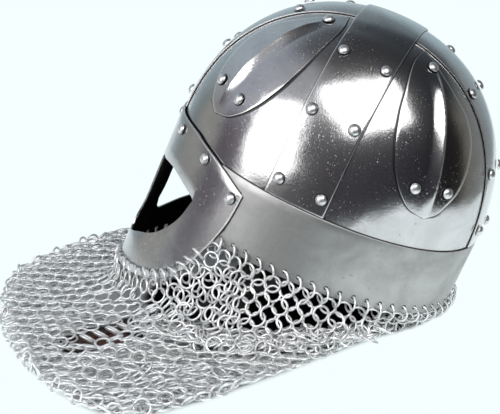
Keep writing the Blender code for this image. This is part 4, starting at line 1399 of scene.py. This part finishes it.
def studio_world():
    """Dim room for everything but the camera, which sees it pale."""
    world = bpy.data.worlds.new("studio")
    bpy.context.scene.world = world
    world.use_nodes = True
    make = NodeTree(world.node_tree)
    way = make.nodes.new("ShaderNodeSeparateXYZ")
    make.feed(way.inputs["Vector"], make.add("TexCoord", "Generated"))
    azimuth = make.combine("ARCTAN2", way.outputs["X"], make.remap(way.outputs["Y"], -1, 1, 1, -1))
    turn = make.remap(azimuth, -math.pi, math.pi)
    rise = make.remap(way.outputs["Z"], 0.26, 0.50)
    room = make.mix(rise, make.ramp(turn, LOW_ROOM), make.ramp(turn, HIGH_ROOM))
    room = make.mix(make.remap(way.outputs["Z"], 0.84, 0.95, 0.0, 0.86), room, CEILING)
    pale = make.mix(make.add("LightPath", "Is Camera Ray"), room, PALE)
    make.feed(make.nodes["Background"].inputs["Color"], pale)


def softbox(name, azimuth, elevation, size, roll=0.0):
    """A soft light of a given width and height, facing the helmet."""
    azimuth, elevation = math.radians(azimuth), math.radians(elevation)
    away = Vector((math.sin(azimuth) * math.cos(elevation), -math.cos(azimuth) * math.cos(elevation),
                   math.sin(elevation)))
    deselect()
    bpy.ops.object.light_add(type="AREA", location=BELOW_BROW + Vector((0, 0, 0.15)) + away * LIGHT_DISTANCE)
    light = bpy.context.object
    light.name = name
    facing = away.to_track_quat("Z", "Y").to_matrix() @ Matrix.Rotation(math.radians(roll), 3, "Z")
    light.rotation_euler = facing.to_euler()
    light.data.shape = "RECTANGLE"
    light.data.size, light.data.size_y = size
    light.data.energy = LIGHT_BRIGHTNESS * math.pi * size[0] * size[1]


def solved_camera():
    """Camera at the place and angle of the photograph's."""
    side, rise = CAMERA_SIDE, CAMERA_RISE
    right = Vector((-math.sin(side), math.cos(side), 0))
    level = Vector((math.cos(side), math.sin(side), 0))
    back = level * math.cos(rise) + Vector((0, 0, 1)) * math.sin(rise)
    up = Vector((0, 0, 1)) * math.cos(rise) - level * math.sin(rise)
    aim = (-back * FOCAL_PIXELS + right * (PICTURE[0] / 2 - BROW_PIXEL[0])
           - up * (PICTURE[1] / 2 - BROW_PIXEL[1])).normalized()
    across = aim.cross(up).normalized()
    bpy.ops.object.camera_add(location=BROW_MIDDLE + back * CAMERA_DISTANCE)
    camera = bpy.context.object
    camera.name = "camera"
    camera.rotation_euler = Matrix((across, across.cross(aim), -aim)).transposed().to_euler()
    camera.data.sensor_width = SENSOR_WIDTH
    camera.data.lens = SENSOR_WIDTH * FOCAL_PIXELS / PICTURE[0]
    camera.data.clip_start = 0.05
    return camera


def inside_depth(outline, p):
    """How far points of the floor lie inside a closed outline, negative outside."""
    span = np.roll(outline, -1, axis=0) - outline
    gap = p[:, None, :2] - outline[None, :, :2]
    t = np.clip((gap * span[None, :, :2]).sum(2) / (span[:, :2] ** 2).sum(1), 0, 1)
    near = np.linalg.norm(gap - span[None, :, :2] * t[..., None], axis=2).min(axis=1)
    y0, y1 = outline[:, 1], np.roll(outline[:, 1], -1)
    straddles = (y0 > p[:, 1:2]) != (y1 > p[:, 1:2])
    with np.errstate(divide="ignore", invalid="ignore"):
        cut = outline[:, 0] + (p[:, 1:2] - y0) / (y1 - y0) * span[:, 0]
    return np.where((straddles & (p[:, :1] < cut)).sum(1) % 2 == 1, near, -near)


def floor_shade_share(p):
    """Share of painted shade on the floor: 0 on the open floor, 1 under the spread mail, 2 under the helmet."""
    spread = outline_point(np.arange(-180.0, 180.0, 3.0)) + ZERO
    rim = as_it_lies(rim_point(np.arange(0.0, 360.0, 4.0)))
    share = np.zeros(len(p))
    close = np.flatnonzero((np.abs(p[:, 0]) < 0.4) & (np.abs(p[:, 1]) < 0.4))
    share[close] = np.maximum(smooth_step(-0.001, 0.008, inside_depth(spread, p[close])),
                              smooth_step(0.009, 0.022, inside_depth(rim, p[close])) * 2)
    return share


class HELMET_OT_stage(Operator):
    """Floor, soft lights and camera"""
    bl_idname = "helmet.stage"
    bl_label = "Studio"

    def execute(self, context):
        def place(s, t):
            # A fine grid at the helmet, that widens fast to the right of the helmet and ahead of it
            across, along = 2 * s - 1, 2 * t - 1
            return points(0.28 * across - 3.7 * np.maximum(-across, 0) ** 9,
                          0.36 * along - 2.7 * np.maximum(-along, 0) ** 9, 0.0)

        floor = laid_grid("floor", 240, 240, place)
        # Share of painted shade at each point of the floor
        mark(floor, "cover", floor_shade_share, False)
        floor.data.materials.append(look("pale_floor"))
        softbox("window_front", 57, 17, (0.98, 1.18))
        softbox("window_above", 119.5, 41, (1.56, 1.06), 11)
        studio_world()
        context.scene.camera = solved_camera()
        context.scene.view_settings.view_transform = "Standard"
        return {"FINISHED"}


PIECES = (HELMET_OT_panels, HELMET_OT_bands, HELMET_OT_brow_band, HELMET_OT_face_plate, HELMET_OT_leaves,
          HELMET_OT_rivets, HELMET_OT_mail, HELMET_OT_strap, HELMET_OT_stage)
GROUPS = {"helmet_sheets": HelmetSheets, "helmet_mail": HelmetMail, "helmet_finish": HelmetFinish}


class HELMET_PT_sidebar(Panel):
    """Lists the pieces and their sizes"""
    bl_label = "Helmet"
    bl_space_type = "VIEW_3D"
    bl_region_type = "UI"
    bl_category = "Helmet"

    def draw(self, context):
        for name in GROUPS:
            group = getattr(context.scene, name)
            box = self.layout.box()
            for key in group.__annotations__:
                box.prop(group, key)
        for piece in PIECES:
            self.layout.operator(piece.bl_idname)


def register():
    for name, group in GROUPS.items():
        bpy.utils.register_class(group)
        setattr(bpy.types.Scene, name, PointerProperty(type=group))
    for piece in (*PIECES, HELMET_PT_sidebar):
        bpy.utils.register_class(piece)


def unregister():
    for piece in (HELMET_PT_sidebar, *reversed(PIECES)):
        bpy.utils.unregister_class(piece)
    for name, group in GROUPS.items():
        delattr(bpy.types.Scene, name)
        bpy.utils.unregister_class(group)


def main():
    register()
    bpy.ops.helmet.panels()
    bpy.ops.helmet.bands()
    bpy.ops.helmet.brow_band()
    bpy.ops.helmet.face_plate()
    bpy.ops.helmet.leaves()
    bpy.ops.helmet.rivets()
    bpy.ops.helmet.mail()
    bpy.ops.helmet.strap()
    bpy.ops.helmet.stage()


if __name__ == "__main__":
    main()
